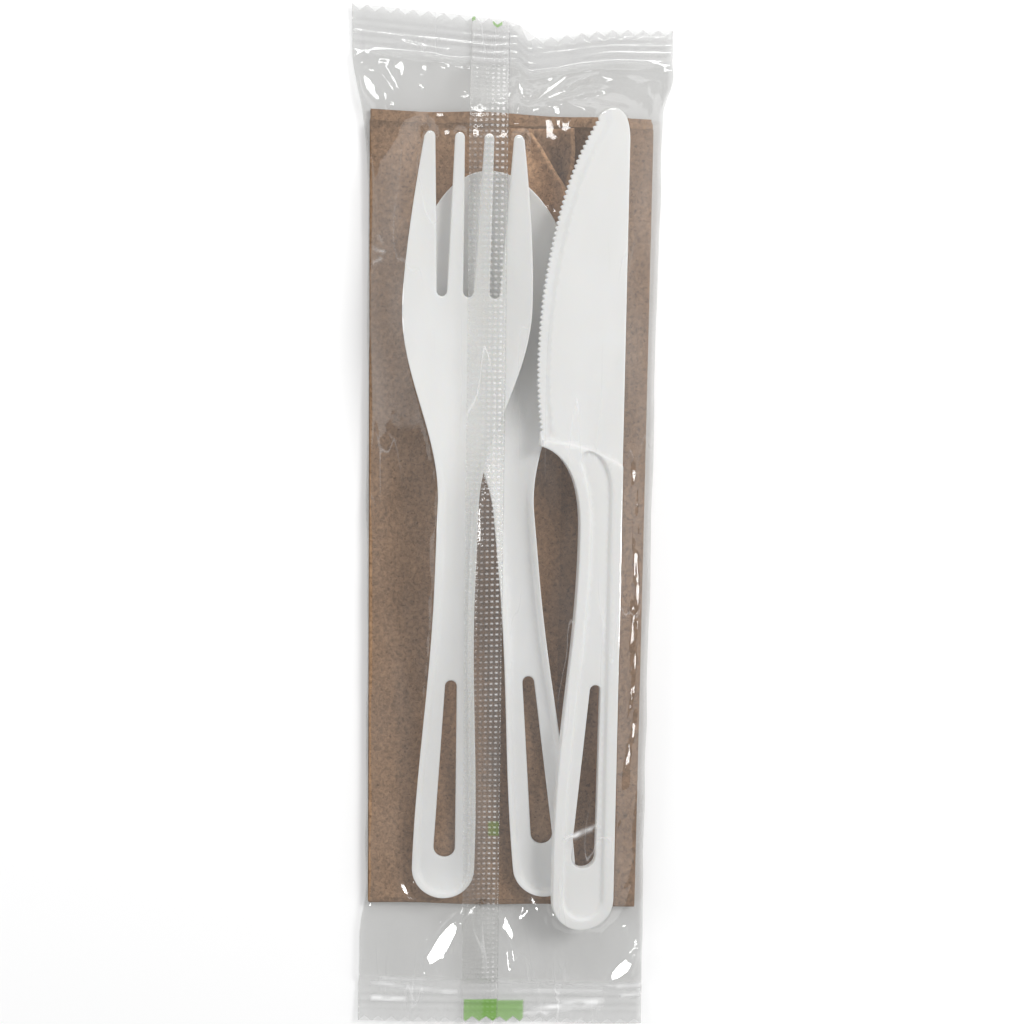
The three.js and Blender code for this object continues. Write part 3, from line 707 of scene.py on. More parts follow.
def napkin_folds():
    """The doubled sheet as a grid of points, and its tone, with painted shade between the fork and the knife
    and along the top edge of its front half.
    """
    x, height = napkin_section()
    highest = height.max()
    turn_y = NAPKIN_BOTTOM + highest
    rows = []
    tones_and_painted_light = []
    for y in np.linspace(NAPKIN_TOP, turn_y, 110):
        edge = np.clip((y - NAPKIN_TOP + 6) / 6, 0, 1)
        wave = (1.3 * (noise(x, height * 40, 13, 11) - 0.6) - 0.036 * x) * edge
        rows.append(np.column_stack([x, y + wave, NAPKIN_MIDDLE - height]))
        tones_and_painted_light.append(np.full(len(x), BACK_TONE))
    for angle in np.linspace(0, math.pi, 9)[1:-1]:
        y = turn_y - height * math.sin(angle) + 0.7 * (noise(x, 0, 14, 12) - 0.5)
        rows.append(np.column_stack([x, y, NAPKIN_MIDDLE - height * math.cos(angle)]))
        tones_and_painted_light.append(np.full(len(x), FOLD_TONE))
    for y in np.linspace(turn_y, NAPKIN_TOP - NAPKIN_STEP, 110):
        edge = np.clip((y - NAPKIN_TOP + NAPKIN_STEP + 6) / 6, 0, 1)
        wave = (1.5 * (noise(x, height * 40, 15, 13) - 0.5) - 0.03 * x) * edge
        lift = 0.12 * (noise(x, y, 9, 14) - 0.5) * height / highest
        rows.append(np.column_stack([x, y + wave, NAPKIN_MIDDLE + height + lift]))
        # Painted shade: darker between the fork and the knife towards the top, and a painted dark line along
        # the front half's top edge
        painted_shade = ease(1, 0.75, (y - 55) / 15) * (x > 10) * (x < 20) + (x <= 10) + (x >= 20)
        tones_and_painted_light.append(painted_shade * np.where(y > NAPKIN_TOP - NAPKIN_STEP - 0.5, 0.8, 1.0))
    return np.array(rows), np.array(tones_and_painted_light)


def napkin_flap(edge_points, level, curl, curl_from, tone_and_painted_light, painted_light):
    """A leaf of the sheet whose free edge shows between the fork and the knife, and its tone, with painted
    light over its upper end and a painted highlight along its free edge.
    """
    ys, xs = np.array(edge_points).T
    top = edge_points[-1][0]
    rows = []
    tones_and_painted_light = []
    for y in np.linspace(NAPKIN_BOTTOM + 1.5, top, 170):
        right = np.interp(y, ys, xs)
        share = np.linspace(0, 1, 90) ** 0.7
        x = -NAPKIN_WIDTH / 2 + 0.4 + (right + NAPKIN_WIDTH / 2 - 0.4) * share
        near_edge = ease(0, 1, (x - right + 5) / 5)
        rise = curl * near_edge ** 2 * ease(0, 1, (y - curl_from) / 14)
        tip = 0.4 * ease(0, 1, (y - top + 5) / 5) * (noise(x, y, 7, 15) - 0.2)
        crumple = 0.22 * (noise(x, y, 8, 16) + 0.5 * noise(x, y, 3.1, 17) - 0.9)
        crumple = crumple * np.clip((right - x) / 3, 0, 1)
        rows.append(np.column_stack([x, np.full(len(x), y), level + rise + tip * near_edge + crumple]))
        # Painted highlight along the leaf's free edge and its top, and painted light over its upper end
        rim = (x > right - 0.7) * ease(0, 1, (y - curl_from) / 10) + (y > top - 0.5) * (x > 0)
        lit = 1 + painted_light * ease(0, 1, (y - 58) / 12) * (x > 3)
        tones_and_painted_light.append(tone_and_painted_light * lit + 0.7 * np.clip(rim, 0, 1))
    return np.array(rows), np.array(tones_and_painted_light)


def napkin_mesh():
    level = NAPKIN_MIDDLE + LEAF_PITCH * LEAVES
    parts = (
        napkin_folds(),
        napkin_flap(MIDDLE_EDGE, level, *MIDDLE_LEAF),
        napkin_flap(FRONT_EDGE, level + 0.1, *FRONT_LEAF),
    )
    points = []
    faces = []
    tones_and_painted_light = []
    for part, tone_and_painted_light in parts:
        faces += grid_faces(part.shape[0], part.shape[1], sum(len(done) for done in points))
        points.append(part.reshape(-1, 3))
        tones_and_painted_light.append(tone_and_painted_light.ravel())
    return np.vstack(points), faces, np.concatenate(tones_and_painted_light)


# Film

SEAL_TOP = PACK_LENGTH / 2 - TOP_SEAL_HEIGHT
SEAL_BOTTOM = BOTTOM_SEAL_HEIGHT - PACK_LENGTH / 2

# Creases pressed into the film: both ends, height and width
CREASES = (
    (-14, -79, -8.5, -93, 1, 1.6),
    (-10.5, -80, -9, -95, 0.5, 1),
    (-1.5, -80, 3, -87, 0.8, 1.2),
    (2, -86, 6, -79, 0.5, 1),
    (24, -84, 29, -97, 0.9, 1.5),
    (22, -95, 29, -86, 0.5, 1),
    (-29, -88, -20, -97, 0.6, 1.2),
    (-29, 92, -24, 86, 0.9, 1.2),
    (-26, 93, -27, 84, 0.6, 1),
    (6, 91, 13, 86, 0.9, 1.2),
    (8, 88, 15, 91, 0.6, 1),
    (1, 91, 3.5, 84, 1.1, 1.2),
    (27, 90, 25, 80, 0.6, 1),
    (23.5, 31, 28.5, 18, 0.5, 0.8),
    (26.5, 16, 28.5, -36, 0.5, 0.8),
    (25, -8, 28, -20, 0.5, 0.7),
    (-27, 64, -22, 54, 0.4, 0.7),
    (-28, 44, -24, 36, 0.4, 0.7),
    (-26, 4, -28, -20, 0.4, 0.7),
    (11, -60, 20, -66, 0.5, 0.8),
    (6, 64, 10, 62, 0.5, 0.8),
    (14, 66, 20, 60, 0.4, 0.8),
)


# Broad folds in the film: where each starts, its height and width there, and the same at its end
FOLDS = (
    (-7.5, -79, 0.4, 0.9, -13, -93.5, 2.1, 4.5),
    (1.5, -81, 0.4, 0.9, 4.5, -88, 1.2, 2.5),
    (2.5, -88, 0.6, 1.4, 4, -95, 0.9, 2.2),
    (26, -84, 0.5, 1.2, 29, -98, 1.4, 3),
    (21, -98, 0.5, 1.5, 28.5, -89, 0.8, 1.8),
    (-29, 93, 1.4, 2.6, -24, 85.5, 0.8, 1.8),
    (-25.5, 92, 0.9, 1.8, -22, 87, 0.5, 1.2),
    (5.2, 92, 0.8, 1.6, 15.4, 97, 1.3, 2.4),
    (7, 88, 0.5, 1.4, 17, 92, 1, 2),
    (3, 95, 1, 1.2, 1, 84, 1.3, 1.8),
    (3, 95, 1, 1.2, 5.5, 85, 1.1, 1.7),
    (3, 95, 0.8, 1, -2, 88, 0.9, 1.6),
    (3.5, 94, 0.8, 1, 9, 88, 0.9, 1.6),
    (26.2, 18, 0.5, 1.1, 27.6, -10, 0.8, 1.7),
    (27.6, -10, 0.8, 1.7, 26.8, -38, 0.4, 1),
    (28, -34, 0.4, 0.9, 26.6, -52, 0.7, 1.5),
)


# Flat facets that catch a lamp: middle, way along, half length, half width and how far each is raised
GLINTS = (
    (-12, -87.2, (-7.2, -13.7), 8, 2.2, 0.7),
    (-6.3, -80.3, (5.8, 5), 3.4, 0.7, 0),
    (1.6, -84, (1.5, -5), 3.2, 1.2, 0.2),
    (5.1, -84, (2, 1.8), 1.4, 0.45, 0),
    (26, -93.5, (-6, -7.5), 4.4, 1.8, 0.1),
    (28.6, -88, (-1, -5), 2.6, 0.6, 0),
    (-28, 89.6, (3, -5.2), 3.6, 1.5, 0),
    (-25.4, 88.8, (3, -6), 2.4, 0.6, 0),
    (-26.3, 94.6, (2, 0.5), 1.2, 0.5, 0),
    (-12, 94, (6, -1.5), 3.4, 0.5, 0),
    (-25, 100.6, (11, -2.6), 6, 0.5, 0),
    (-20, 99, (6, -1.5), 3, 0.8, 0),
    (-15.5, 98, (11, -3), 6, 0.55, 0),
    (1.9, 89, (1.5, -4), 2.4, 0.8, 0),
    (8.2, 90.2, (8.4, 6.7), 5.2, 0.8, 0),
    (8.5, 88.3, (4.2, 1.7), 2.2, 0.6, 0),
    (14.9, 93.2, (7, 1.4), 3.5, 0.6, 0),
    (10, 95.6, (10, 1.7), 5.5, 0.5, 0),
    (12, 97.8, (10, 1.1), 6, 0.5, 0),
    (24, 98.9, (10, 1), 6, 0.5, 0),
    (6.5, 66, (6, -3), 3, 0.6, 0.2),
)


# White streaks set on the film in place of thin bright reflections: both ends, half width and strength
STREAKS = (
    (-30.4, -96.7, -9.4, -97.3, 0.45, 1.1),
    (-27.6, -97.9, -9.4, -100, 0.45, 1.3),
    (-27.3, -101.3, -20.4, -101.6, 0.5, 2),
    (-0.4, -97.1, 25.5, -97.9, 0.45, 1.2),
    (3, -99.4, 22, -99, 0.4, 0.9),
    (5.7, -104.8, 12.6, -102.5, 0.7, 2.4),
    (12.6, -102.5, 21.6, -101.6, 0.8, 2.4),
    (9.5, -104.3, 15, -103.2, 0.6, 1.8),
    (25.5, -97.9, 30, -97.5, 0.6, 2),
    (26.2, -100.3, 30, -99.7, 0.5, 1.6),
    (13.2, -62.2, 19.8, -59.6, 0.35, 1.8),
    (15, -61.8, 18.3, -60.5, 0.5, 2.8),
    (-28.4, 58.2, -25.6, 57.4, 0.35, 1.2),
    (-28.2, 55.4, -26.2, 56, 0.35, 1.2),
    (-27, 60.8, -25.8, 58.8, 0.3, 0.9),
)


def beside_line(x, y, x0, y0, x1, y1, margin):
    """Which places lie near a straight line, and how far each of them is from it."""
    near = (x > min(x0, x1) - margin) & (x < max(x0, x1) + margin)
    near &= (y > min(y0, y1) - margin) & (y < max(y0, y1) + margin)
    return near, distance(np.column_stack([x[near], y[near]]), np.array([(x0, y0), (x1, y1)]))


def streaked(x, y):
    """How white the painted reflections along the streaks make the film, broken up along them."""
    white = np.zeros(x.shape)
    for *ends, width, strength in STREAKS:
        near, gap = beside_line(x, y, *ends, STREAK_REACH)
        white[near] = np.maximum(white[near], strength * np.exp(-(gap / width) ** 2))
    return white * ease(0.4, 1, (noise(x, 3 * y, 2.6, 67) - 0.25) / 0.4)


def strip_glints():
    """Facets one after the other down the crinkle beside the knife."""
    sides = [1 if number % 2 else -1 for number in range(8)]
    return [(26.9 + 0.3 * side, 9.0 - 7 * number, (0.3 * side, -7.0), 3.9, 0.5, 0.0)
            for number, side in enumerate(sides)]


def film_half(y):
    """Half the film tube's width, opening to each seal."""
    up = ease(BODY_HALF, TOP_SEAL_WIDTH / 2, (y - NAPKIN_TOP) / (SEAL_TOP - NAPKIN_TOP))
    down = ease(BODY_HALF, BOTTOM_SEAL_WIDTH / 2, (NAPKIN_BOTTOM - y) / (NAPKIN_BOTTOM - SEAL_BOTTOM))
    return np.where(y > NAPKIN_TOP, up, down)


def seal_sag(x):
    """How far the top seal is pulled down, across the pack."""
    left = SAG_AT_FIN * (x + TOP_SEAL_WIDTH / 2) / (TOP_SEAL_WIDTH / 2)
    dip = ease(SAG_AT_FIN, SAG_DIP, x / DIP_X)
    right = ease(SAG_DIP, SAG_RIGHT, (x - DIP_X) / DIP_LENGTH)
    return np.where(x < 0, left, np.where(x < DIP_X, dip, right))


def seal_start(x):
    """Where the top seal starts along the pack: higher on the right, where it was pulled in."""
    return SEAL_TOP + ease(0.6, 2.8, (x + 5) / 14)


def sagged(x, y):
    """Where along the pack a place ends up, once the top seal is pulled down."""
    up = np.clip((y - CONTENTS_TOP) / (SEAL_TOP - CONTENTS_TOP), 0, 1)
    return y - up * seal_sag(x)


def end_lift(x, y):
    """How far both ends curl up off the floor."""
    curl = np.clip((np.abs(y) - END_CURL_FROM) / END_CURL_LENGTH, 0, 1) ** 2
    return np.where(y > 0, TOP_CURL, BOTTOM_CURL) * curl * (0.4 + noise(x, np.sign(y) * 40, 13, 64))


def in_seal(x, y):
    """From 0 in the film's body to 1 in either seal."""
    return np.maximum(ease(0, 1, (y - seal_start(x) + 2) / 2.5), ease(0, 1, (SEAL_BOTTOM + 2.5 - y) / 2.5))


def tops(trees, x, y, above):
    """The height of what is under each place, seen from a height above it."""
    heights = np.zeros(x.shape)
    for place in np.ndindex(x.shape):
        start = Vector((x[place], y[place], above))
        for tree in trees:
            hit = tree.ray_cast(start, Vector((0, 0, -1)))[0]
            if hit is not None:
                heights[place] = max(heights[place], hit.z)
    return heights


def neighbours(heights):
    """Each place's height and the eight beside it."""
    padded = np.pad(heights, 1, mode="edge")
    rows, columns = heights.shape
    return [padded[i:i + rows, j:j + columns] for i in range(3) for j in range(3)]


def spread(heights):
    """The greatest height at each place and beside it."""
    return np.max(neighbours(heights), axis=0)


def smoothed(heights, rounds):
    """Heights evened out with their neighbours."""
    for _ in range(rounds):
        heights = np.mean(neighbours(heights), axis=0)
    return heights


def membrane(under, edge, pull):
    """A film stretched over heights, held at its edges and pulled down a little."""
    held = np.maximum(under, edge)
    level = np.maximum(held, held.max() * MEMBRANE_START)
    level[[0, -1], :] = edge[[0, -1], :]
    level[:, [0, -1]] = edge[:, [0, -1]]
    floor = under[1:-1, 1:-1]
    for _ in range(MEMBRANE_ROUNDS):
        middle = (level[:-2, 1:-1] + level[2:, 1:-1] + level[1:-1, :-2] + level[1:-1, 2:]) / 4
        level[1:-1, 1:-1] = np.maximum(middle - pull, floor)
    return level


def loose_creases():
    """More creases, scattered over both ends of the pack, both its sides and its middle."""
    rng = np.random.default_rng(71)
    creases = []
    for count, start, way, longest in ((34, SEAL_TOP, -1, 13), (30, SEAL_BOTTOM, 1, 18)):
        for _ in range(count):
            x = rng.uniform(-29, 29)
            y = start + way * rng.uniform(0, 4)
            reach = way * rng.uniform(5, longest)
            end = (x + rng.normal(0, 3), y + reach)
            creases.append((x, y, *end, rng.uniform(0.25, 0.8), rng.uniform(0.6, 1.4)))
    for side in (-1, 1):
        for _ in range(26):
            x = side * rng.uniform(26, 30)
            y = rng.uniform(-82, 86)
            reach = side * rng.uniform(1, 7)
            end = (x - reach, y + rng.normal(0, 9))
            creases.append((x, y, *end, rng.uniform(0.2, 0.5), rng.uniform(0.5, 1)))
    for _ in range(40):
        x = rng.uniform(-26, 26)
        y = rng.uniform(-76, 82)
        angle = rng.normal(math.pi / 2, 0.7)
        reach = rng.uniform(5, 22)
        end = (x + reach * math.cos(angle), y + reach * math.sin(angle))
        creases.append((x, y, *end, rng.uniform(0.12, 0.35), rng.uniform(0.5, 0.9)))
    return creases


def crease_heights(x, y):
    """Sharp ridges along the creases."""
    height = np.zeros(x.shape)
    for *ends, rise, width in list(CREASES) + loose_creases():
        near, gap = beside_line(x, y, *ends, 6 * width)
        height[near] += rise * np.exp(-gap / width)
    return height


def fold_heights(x, y):
    """Straight-sided ridges along the broad folds."""
    height = np.zeros(x.shape)
    for x0, y0, rise0, width0, x1, y1, rise1, width1 in FOLDS:
        along_x = x1 - x0
        along_y = y1 - y0
        share = ((x - x0) * along_x + (y - y0) * along_y) / (along_x ** 2 + along_y ** 2)
        share = np.clip(share, 0, 1)
        gap = np.hypot(x - x0 - share * along_x, y - y0 - share * along_y)
        rise = rise0 + (rise1 - rise0) * share
        width = width0 + (width1 - width0) * share
        height = np.maximum(height, rise * np.maximum(1 - gap / width, 0))
    return height


def lamp_slopes(x, y, z):
    """The slopes that a facet needs at a place to show each lamp to the camera."""
    place = Vector((x, y, z)) * MM
    to_eye = (camera_eye() - place).normalized()
    slopes = []
    for lamp in LAMPS.values():
        if lamp[-1]:
            facing = to_eye + (Vector(lamp[0]) - place).normalized()
            slopes.append((-facing.x / facing.z, -facing.y / facing.z))
    return slopes


def facet_lift(slope, own, way, half_length, half_width):
    """How far a facet's rim moves when it turns from its own slope to another."""
    off_x = slope[0] - own[0]
    off_y = slope[1] - own[1]
    along = abs(off_x * way[0] + off_y * way[1]) * half_length
    across = abs(off_x * way[1] - off_y * way[0]) * half_width
    return along + across


def add_glints(x, y, level):
    """The film's heights with each glint pressed flat, turned to the lamp that lifts it least."""
    for middle_x, middle_y, way, half_length, half_width, raised in list(GLINTS) + strip_glints():
        row, column = np.unravel_index(np.argmin(np.hypot(x - middle_x, y - middle_y)), x.shape)
        height = level[row - 2:row + 3, column - 2:column + 3].mean() + raised
        across_x = x[row, column + 3] - x[row, column - 3]
        along_y = y[row + 4, column] - y[row - 4, column]
        own_x = (level[row, column + 3] - level[row, column - 3]) / across_x
        own_y = (level[row + 4, column] - level[row - 4, column]) / along_y
        way_x, way_y = np.array(way) / math.hypot(*way)
        facet = ((own_x, own_y), (way_x, way_y), half_length, half_width)
        slopes = lamp_slopes(middle_x, middle_y, height)
        slope = slopes[int(np.argmin([facet_lift(slope, *facet) for slope in slopes]))]
        along = (x - middle_x) * way_x + (y - middle_y) * way_y
        across = (x - middle_x) * way_y - (y - middle_y) * way_x
        mask = ease(1, 0, (np.hypot(along / half_length, across / half_width) - 0.8) / 0.5)
        flat = height + slope[0] * (x - middle_x) + slope[1] * (y - middle_y)
        level = level * (1 - mask) + flat * mask
    return level


def facets(x, y, spacing, seed):
    """Flat facets of a crumpled sheet: heights from 0 to 1 between scattered points."""
    rng = np.random.default_rng(seed)
    columns, rows = np.meshgrid(np.arange(-42, 43, spacing[0]), np.arange(-118, 119, spacing[1]))
    places = np.column_stack([columns.ravel(), rows.ravel()])
    places = places + rng.uniform(-0.45, 0.45, places.shape) * spacing
    made = delaunay_2d_cdt([Vector(place) for place in places.tolist()], [], [], 0, 1e-6)
    corners = [(corner.x, corner.y, height) for corner, height in zip(made[0], rng.random(len(made[0])))]
    tree = BVHTree.FromPolygons(corners, made[2])
    return tops([tree], x, y, ABOVE_FACETS)


def film_front(trees):
    """Columns across the front of the film, rows along it, and its height over the contents."""
    count = TOOTH_COUNT * COLUMNS_PER_TOOTH
    share = np.linspace(-1, 1, count + 1)
    y = np.linspace(-PACK_LENGTH / 2, PACK_LENGTH / 2, ROWS + 1)
    coarse = y[::2]
    x = share[None, :] * film_half(coarse)[:, None]
    rows = np.repeat(coarse[:, None], count + 1, axis=1)
    under = smoothed(spread(spread(tops(trees, x, rows, ABOVE_PACK))), 2) + FILM_GAP
    side = ease(SIDE_LEVEL, SEAL_LEVEL, in_seal(x, rows))
    edge = np.where(np.abs(share)[None, :] == 1, side, SEAL_LEVEL)
    under = np.where(under > FILM_GAP + 0.01, under, SEAL_LEVEL * 0.5)
    level = membrane(under, edge, FILM_PULL)
    level = read_at(level, coarse, y)
    under = read_at(under, coarse, y)
    x = share[None, :] * film_half(y)[:, None]
    rows = np.repeat(y[:, None], count + 1, axis=1)
    loose = np.clip((level - under) / 1.2, 0.2, 1) * (1 - in_seal(x, rows))
    loose = loose * np.clip((1 - np.abs(share)[None, :]) * 14, 0, 1)
    calm = np.where((rows > LOOSE_BOTTOM) & (rows < LOOSE_TOP), ease(0.25, 0.7, (x + 22) / 30), 1)
    top = ease(0, 1, (rows - LOOSE_TOP) / 6)
    bottom = ease(0, 1, (LOOSE_BOTTOM - rows) / 6)
    broad = 0.3 + 1.2 * top + 0.1 * bottom
    small = 0.12 + 0.6 * top
    crumple = broad * (facets(x, rows, BROAD_FACETS, 81) - 0.5)
    crumple = crumple + small * (facets(x, rows, SMALL_FACETS, 82) - 0.5)
    creased = crumple + (0.8 - 0.35 * bottom) * crease_heights(x, rows)
    level = level + loose * (calm * creased + fold_heights(x, rows) - 0.2)
    seal = in_seal(x, rows)
    level = level * (1 - seal) + crimp_level(x, rows) * seal + end_lift(x, rows)
    level = add_glints(x, sagged(x, rows), level)
    level = np.maximum(level, np.where(top + bottom > 0.5, np.minimum(under, 1.0), under - 0.12))
    return share, y, level


def tooth_cut(x, half):
    """How far the zigzag edge is cut back, across the pack."""
    phase = (x / half + 1) / 2 * TOOTH_COUNT
    return TOOTH_HEIGHT * (1 - np.abs(2 * (phase % 1) - 1))


def crimp_level(x, y):
    """Height in the seals, with ridges pressed across them, firmer in some places than in others."""
    up = y - seal_start(x)
    down = SEAL_BOTTOM - y
    top = ease(0, 1, up / 1) * ease(1, 0.15, (up - 5.0) / 1.5)
    bottom = ease(0, 1, down / 1) * ease(1, 0.15, (down - 4.5) / 2)
    ridges = np.where(y > 0, np.cos(2 * math.pi * up / 1.5), np.cos(2 * math.pi * down / 1.7))
    pressed = CRIMP_HEIGHT * (0.5 + noise(x, y, 9, 66))
    return SEAL_LEVEL + pressed * ridges * np.maximum(top, bottom)


def settled(x, y, z, half):
    """Film points with the ends cut to teeth and the top seal pulled down."""
    seal_half = np.where(y > 0, TOP_SEAL_WIDTH, BOTTOM_SEAL_WIDTH) / 2
    end = ease(0, 1, (np.abs(y) - PACK_LENGTH / 2 + 3) / 3)
    cut = tooth_cut(np.clip(x, -seal_half, seal_half), seal_half) * end
    wobble = 0.6 * (noise(y, np.sign(x) * 50, 9, 65) - 0.5) * np.abs(x / half) ** 6
    wobble = wobble * (1 - in_seal(x, y))
    beside = ease(0, 1, (y + 88) / 14) * ease(1, 0, (y - 76) / 14)
    wobble = wobble + np.where(x < 0, LEFT_PULL * beside * np.abs(x / half) ** 8, 0)
    return np.stack([x + wobble, sagged(x, y) - np.sign(y) * cut, np.maximum(z, 0.02)], axis=2)


def tube_mesh(share, y, front):
    """The film's tube as one web: right panel, back, left panel, all from the fin's root and back to it."""
    half = film_half(y)[:, None]
    panel_x = share[None, :] * half
    right = share * TOP_SEAL_WIDTH / 2 > FIN_X + 0.2
    root_x = np.full((len(y), 1), FIN_X)
    root_z = np.array([[np.interp(FIN_X, line, level)] for line, level in zip(panel_x, front)])
    back_x = share[None, ::-COLUMNS_PER_TOOTH] * half
    back_y = y[:, None] + 0 * back_x
    back_level = BACK_LEVEL + 0.12 * noise(back_x, back_y, 12, 63)
    back_seal = in_seal(back_x, back_y)
    back_z = back_level * (1 - back_seal) + (crimp_level(back_x, back_y) - 0.16) * back_seal
    back_z = back_z + end_lift(back_x, back_y)
    side_z = front[:, -1:] * 0.35 + back_z[:, :1] * 0.65
    left_side_z = front[:, :1] * 0.35 + back_z[:, -1:] * 0.65
    side_x = half - 0.05
    back_x = back_x[:, 1:-1]
    back_z = back_z[:, 1:-1]
    xs = np.hstack([root_x, panel_x[:, right], side_x, back_x, -side_x, panel_x[:, ~right], root_x])
    zs = np.hstack([root_z, front[:, right], side_z, back_z, left_side_z, front[:, ~right], root_z])
    ys = y[:, None] + 0 * xs
    columns = np.arange(xs.shape[1])
    printed = np.zeros(xs.shape)
    printed[(ys < INK_TOP) & (ys > INK_BOTTOM) & (xs < INK_RIGHT) & (columns < right.sum())] = 1
    front_side = (columns <= right.sum()) | (columns >= len(columns) - (~right).sum() - 1)
    # Whiteness: the welded seals, plus painted reflections along the streaks on the front
    return settled(xs, ys, zs, half), printed, 0.5 * in_seal(xs, ys) + front_side * streaked(xs, ys)


def fin_mesh(share, y, front):
    """The fin's two plies as one web, folded over to the left of their root and knurled."""
    rows = np.linspace(-PACK_LENGTH / 2, PACK_LENGTH / 2, FIN_ROWS + 1)
    level = read_at(front, y, rows)
    half = film_half(rows)[:, None]
    columns = np.linspace(FIN_X - FIN_WIDTH, FIN_X, FIN_COLUMNS + 1)
    ply_x = columns[None, :] + 0 * half
    ply_y = rows[:, None] + 0 * ply_x
    under = np.array([np.interp(columns, line * share, heights) for line, heights in zip(half, level)])
    dashes = (np.arange(FIN_ROWS + 1)[:, None] % ROWS_PER_KNURL == 0)
    dashes = dashes * (np.arange(FIN_COLUMNS + 1)[None, :] % COLUMNS_PER_KNURL < 2)
    pressed = np.clip(0.35 + 0.9 * noise(ply_x, ply_y, 9, 61), 0, 1) * (1 - 0.6 * in_seal(ply_x, ply_y))
    from_root = np.linspace(1, 0, FIN_COLUMNS + 1)[None, :]
    edge_lift = 0.6 * noise(0, ply_y, 15, 62) * from_root ** 2 * (1 - in_seal(ply_x, ply_y))
    close = 1 - from_root ** 0.3
    plies = [under + lift * (1 - close) + KNURL_HEIGHT * dashes * pressed + edge_lift for lift in FIN_LIFTS]
    xs = np.hstack([ply_x[:, ::-1], ply_x])
    zs = np.hstack([plies[0][:, ::-1], plies[1]])
    ys = np.hstack([ply_y, ply_y])
    printed = np.zeros(xs.shape)
    upper = np.arange(xs.shape[1]) <= FIN_COLUMNS
    block = (ys < INK_TOP) & (ys > INK_BOTTOM)
    printed[block & upper & (xs > INK_LEFT)] = 1
    printed[block & ~upper & (xs > INK_LAP)] = 1
    faint = (ys > FAINT_INK_BOTTOM) & (ys < FAINT_INK_TOP) & (xs > FAINT_INK_LEFT)
    printed[upper & faint] = FAINT_INK_SHARE
    top_dots = np.abs(np.abs(xs - TOP_INK_X) - TOP_INK_APART) < 1
    printed[upper & (ys > PACK_LENGTH / 2 - TOP_INK_HEIGHT) & top_dots] = 1
    # White of the knurl dashes: partly whitening where pressed and partly painted glints, brighter towards the
    # root; the seal and the top end are whiter too
    white = 0.06 + dashes * pressed * (0.4 + 1.3 * ease(0, 1, 1 - 1.4 * from_root))
    white = white + 0.3 * in_seal(ply_x, ply_y) + 0.28 * ease(0, 1, (ply_y - LOOSE_TOP) / 5)
    return settled(xs, ys, zs, half), printed, np.hstack([white[:, ::-1], white])


# Materials

PLASTIC_COLOURS = ((0.9, 0.898, 0.885), (0.93, 0.93, 0.925))
PLASTIC_ROUGHNESS = ((0.3, 0.3, 0.3), (0.4, 0.4, 0.4))
PAPER_COLOURS = ((0.25, 0.155, 0.093), (0.33, 0.21, 0.13))
FIBRE_TONES = ((0.6, 0.59, 0.58), (1.36, 1.34, 1.3))
SPECK_TONES = ((0.62, 0.6, 0.58), (1.0, 1.0, 1.0))
FILM_ROUGHNESS = 0.07
# White of welded film, also used for painted reflections
WELD_AND_GLINT_COLOUR = (0.92, 0.92, 0.92, 1)
WELD_AND_GLINT_SHARE = 0.3
INK_COLOUR = (0.16, 0.4, 0.025, 1)
INK_SHARE = 0.58
FLOOR_COLOUR = (0.88, 0.88, 0.88, 1)

# How much the film mirrors, least and most, and how much light goes through it: the tube, then the fin
TUBE_LOOK = ((0.11, 0.16), 0.885)
FIN_LOOK = ((0.025, 0.045), 0.965)


class Nodes:
    """A short way to write a material's nodes."""

    def __init__(self, name):
        self.material = bpy.data.materials.new(name)
        self.material.use_nodes = True
        self.tree = self.material.node_tree
        self.tree.nodes.clear()
        self.output = self.tree.nodes.new("ShaderNodeOutputMaterial")

    def add(self, kind, links=(), **values):
        node = self.tree.nodes.new(kind)
        for name, value in values.items():
            setattr(node, name, value)
        for socket, source in dict(links).items():
            target = node.inputs[socket]
            if hasattr(source, "is_output"):
                self.tree.links.new(source, target)
            else:
                target.default_value = source
        return node

    def ramp(self, source, places, colours):
        node = self.add("ShaderNodeValToRGB", {"Fac": source})
        for element, at, colour in zip(node.color_ramp.elements, places, colours):
            element.position = at
            element.color = (*colour, 1)
        return node.outputs["Color"]

    def cloud(self, where, scale, detail, **more):
        links = {"Vector": where, "Scale": scale, "Detail": detail, **more}
        return self.add("ShaderNodeTexNoise", links).outputs["Fac"]

    def moved(self, where, scale, turn=0.0):
        links = {"Vector": where, "Scale": scale, "Rotation": (0, 0, turn)}
        return self.add("ShaderNodeMapping", links).outputs["Vector"]

    def between(self, source, start, end, low, high):
        links = {"Value": source, "From Min": start, "From Max": end, "To Min": low, "To Max": high}
        return self.add("ShaderNodeMapRange", links).outputs["Result"]

    def maths(self, operation, *values):
        return self.add("ShaderNodeMath", dict(enumerate(values)), operation=operation).outputs["Value"]

    def times(self, first, second):
        links = {"Factor": 1.0, 6: first, 7: second}
        return self.add("ShaderNodeMix", links, data_type="RGBA", blend_type="MULTIPLY").outputs[2]

    def bump(self, height, strength, distance):
        links = {"Height": height, "Strength": strength, "Distance": distance}
        return self.add("ShaderNodeBump", links).outputs["Normal"]

    def plain(self, colour, roughness, **more):
        links = {"Base Color": colour, "Roughness": roughness, **more}
        return self.add("ShaderNodeBsdfPrincipled", links).outputs["BSDF"]

    def mixed(self, share, first, second):
        return self.add("ShaderNodeMixShader", {0: share, 1: first, 2: second}).outputs["Shader"]

    def finish(self, shader):
        self.tree.links.new(shader, self.output.inputs["Surface"])
        return self.material


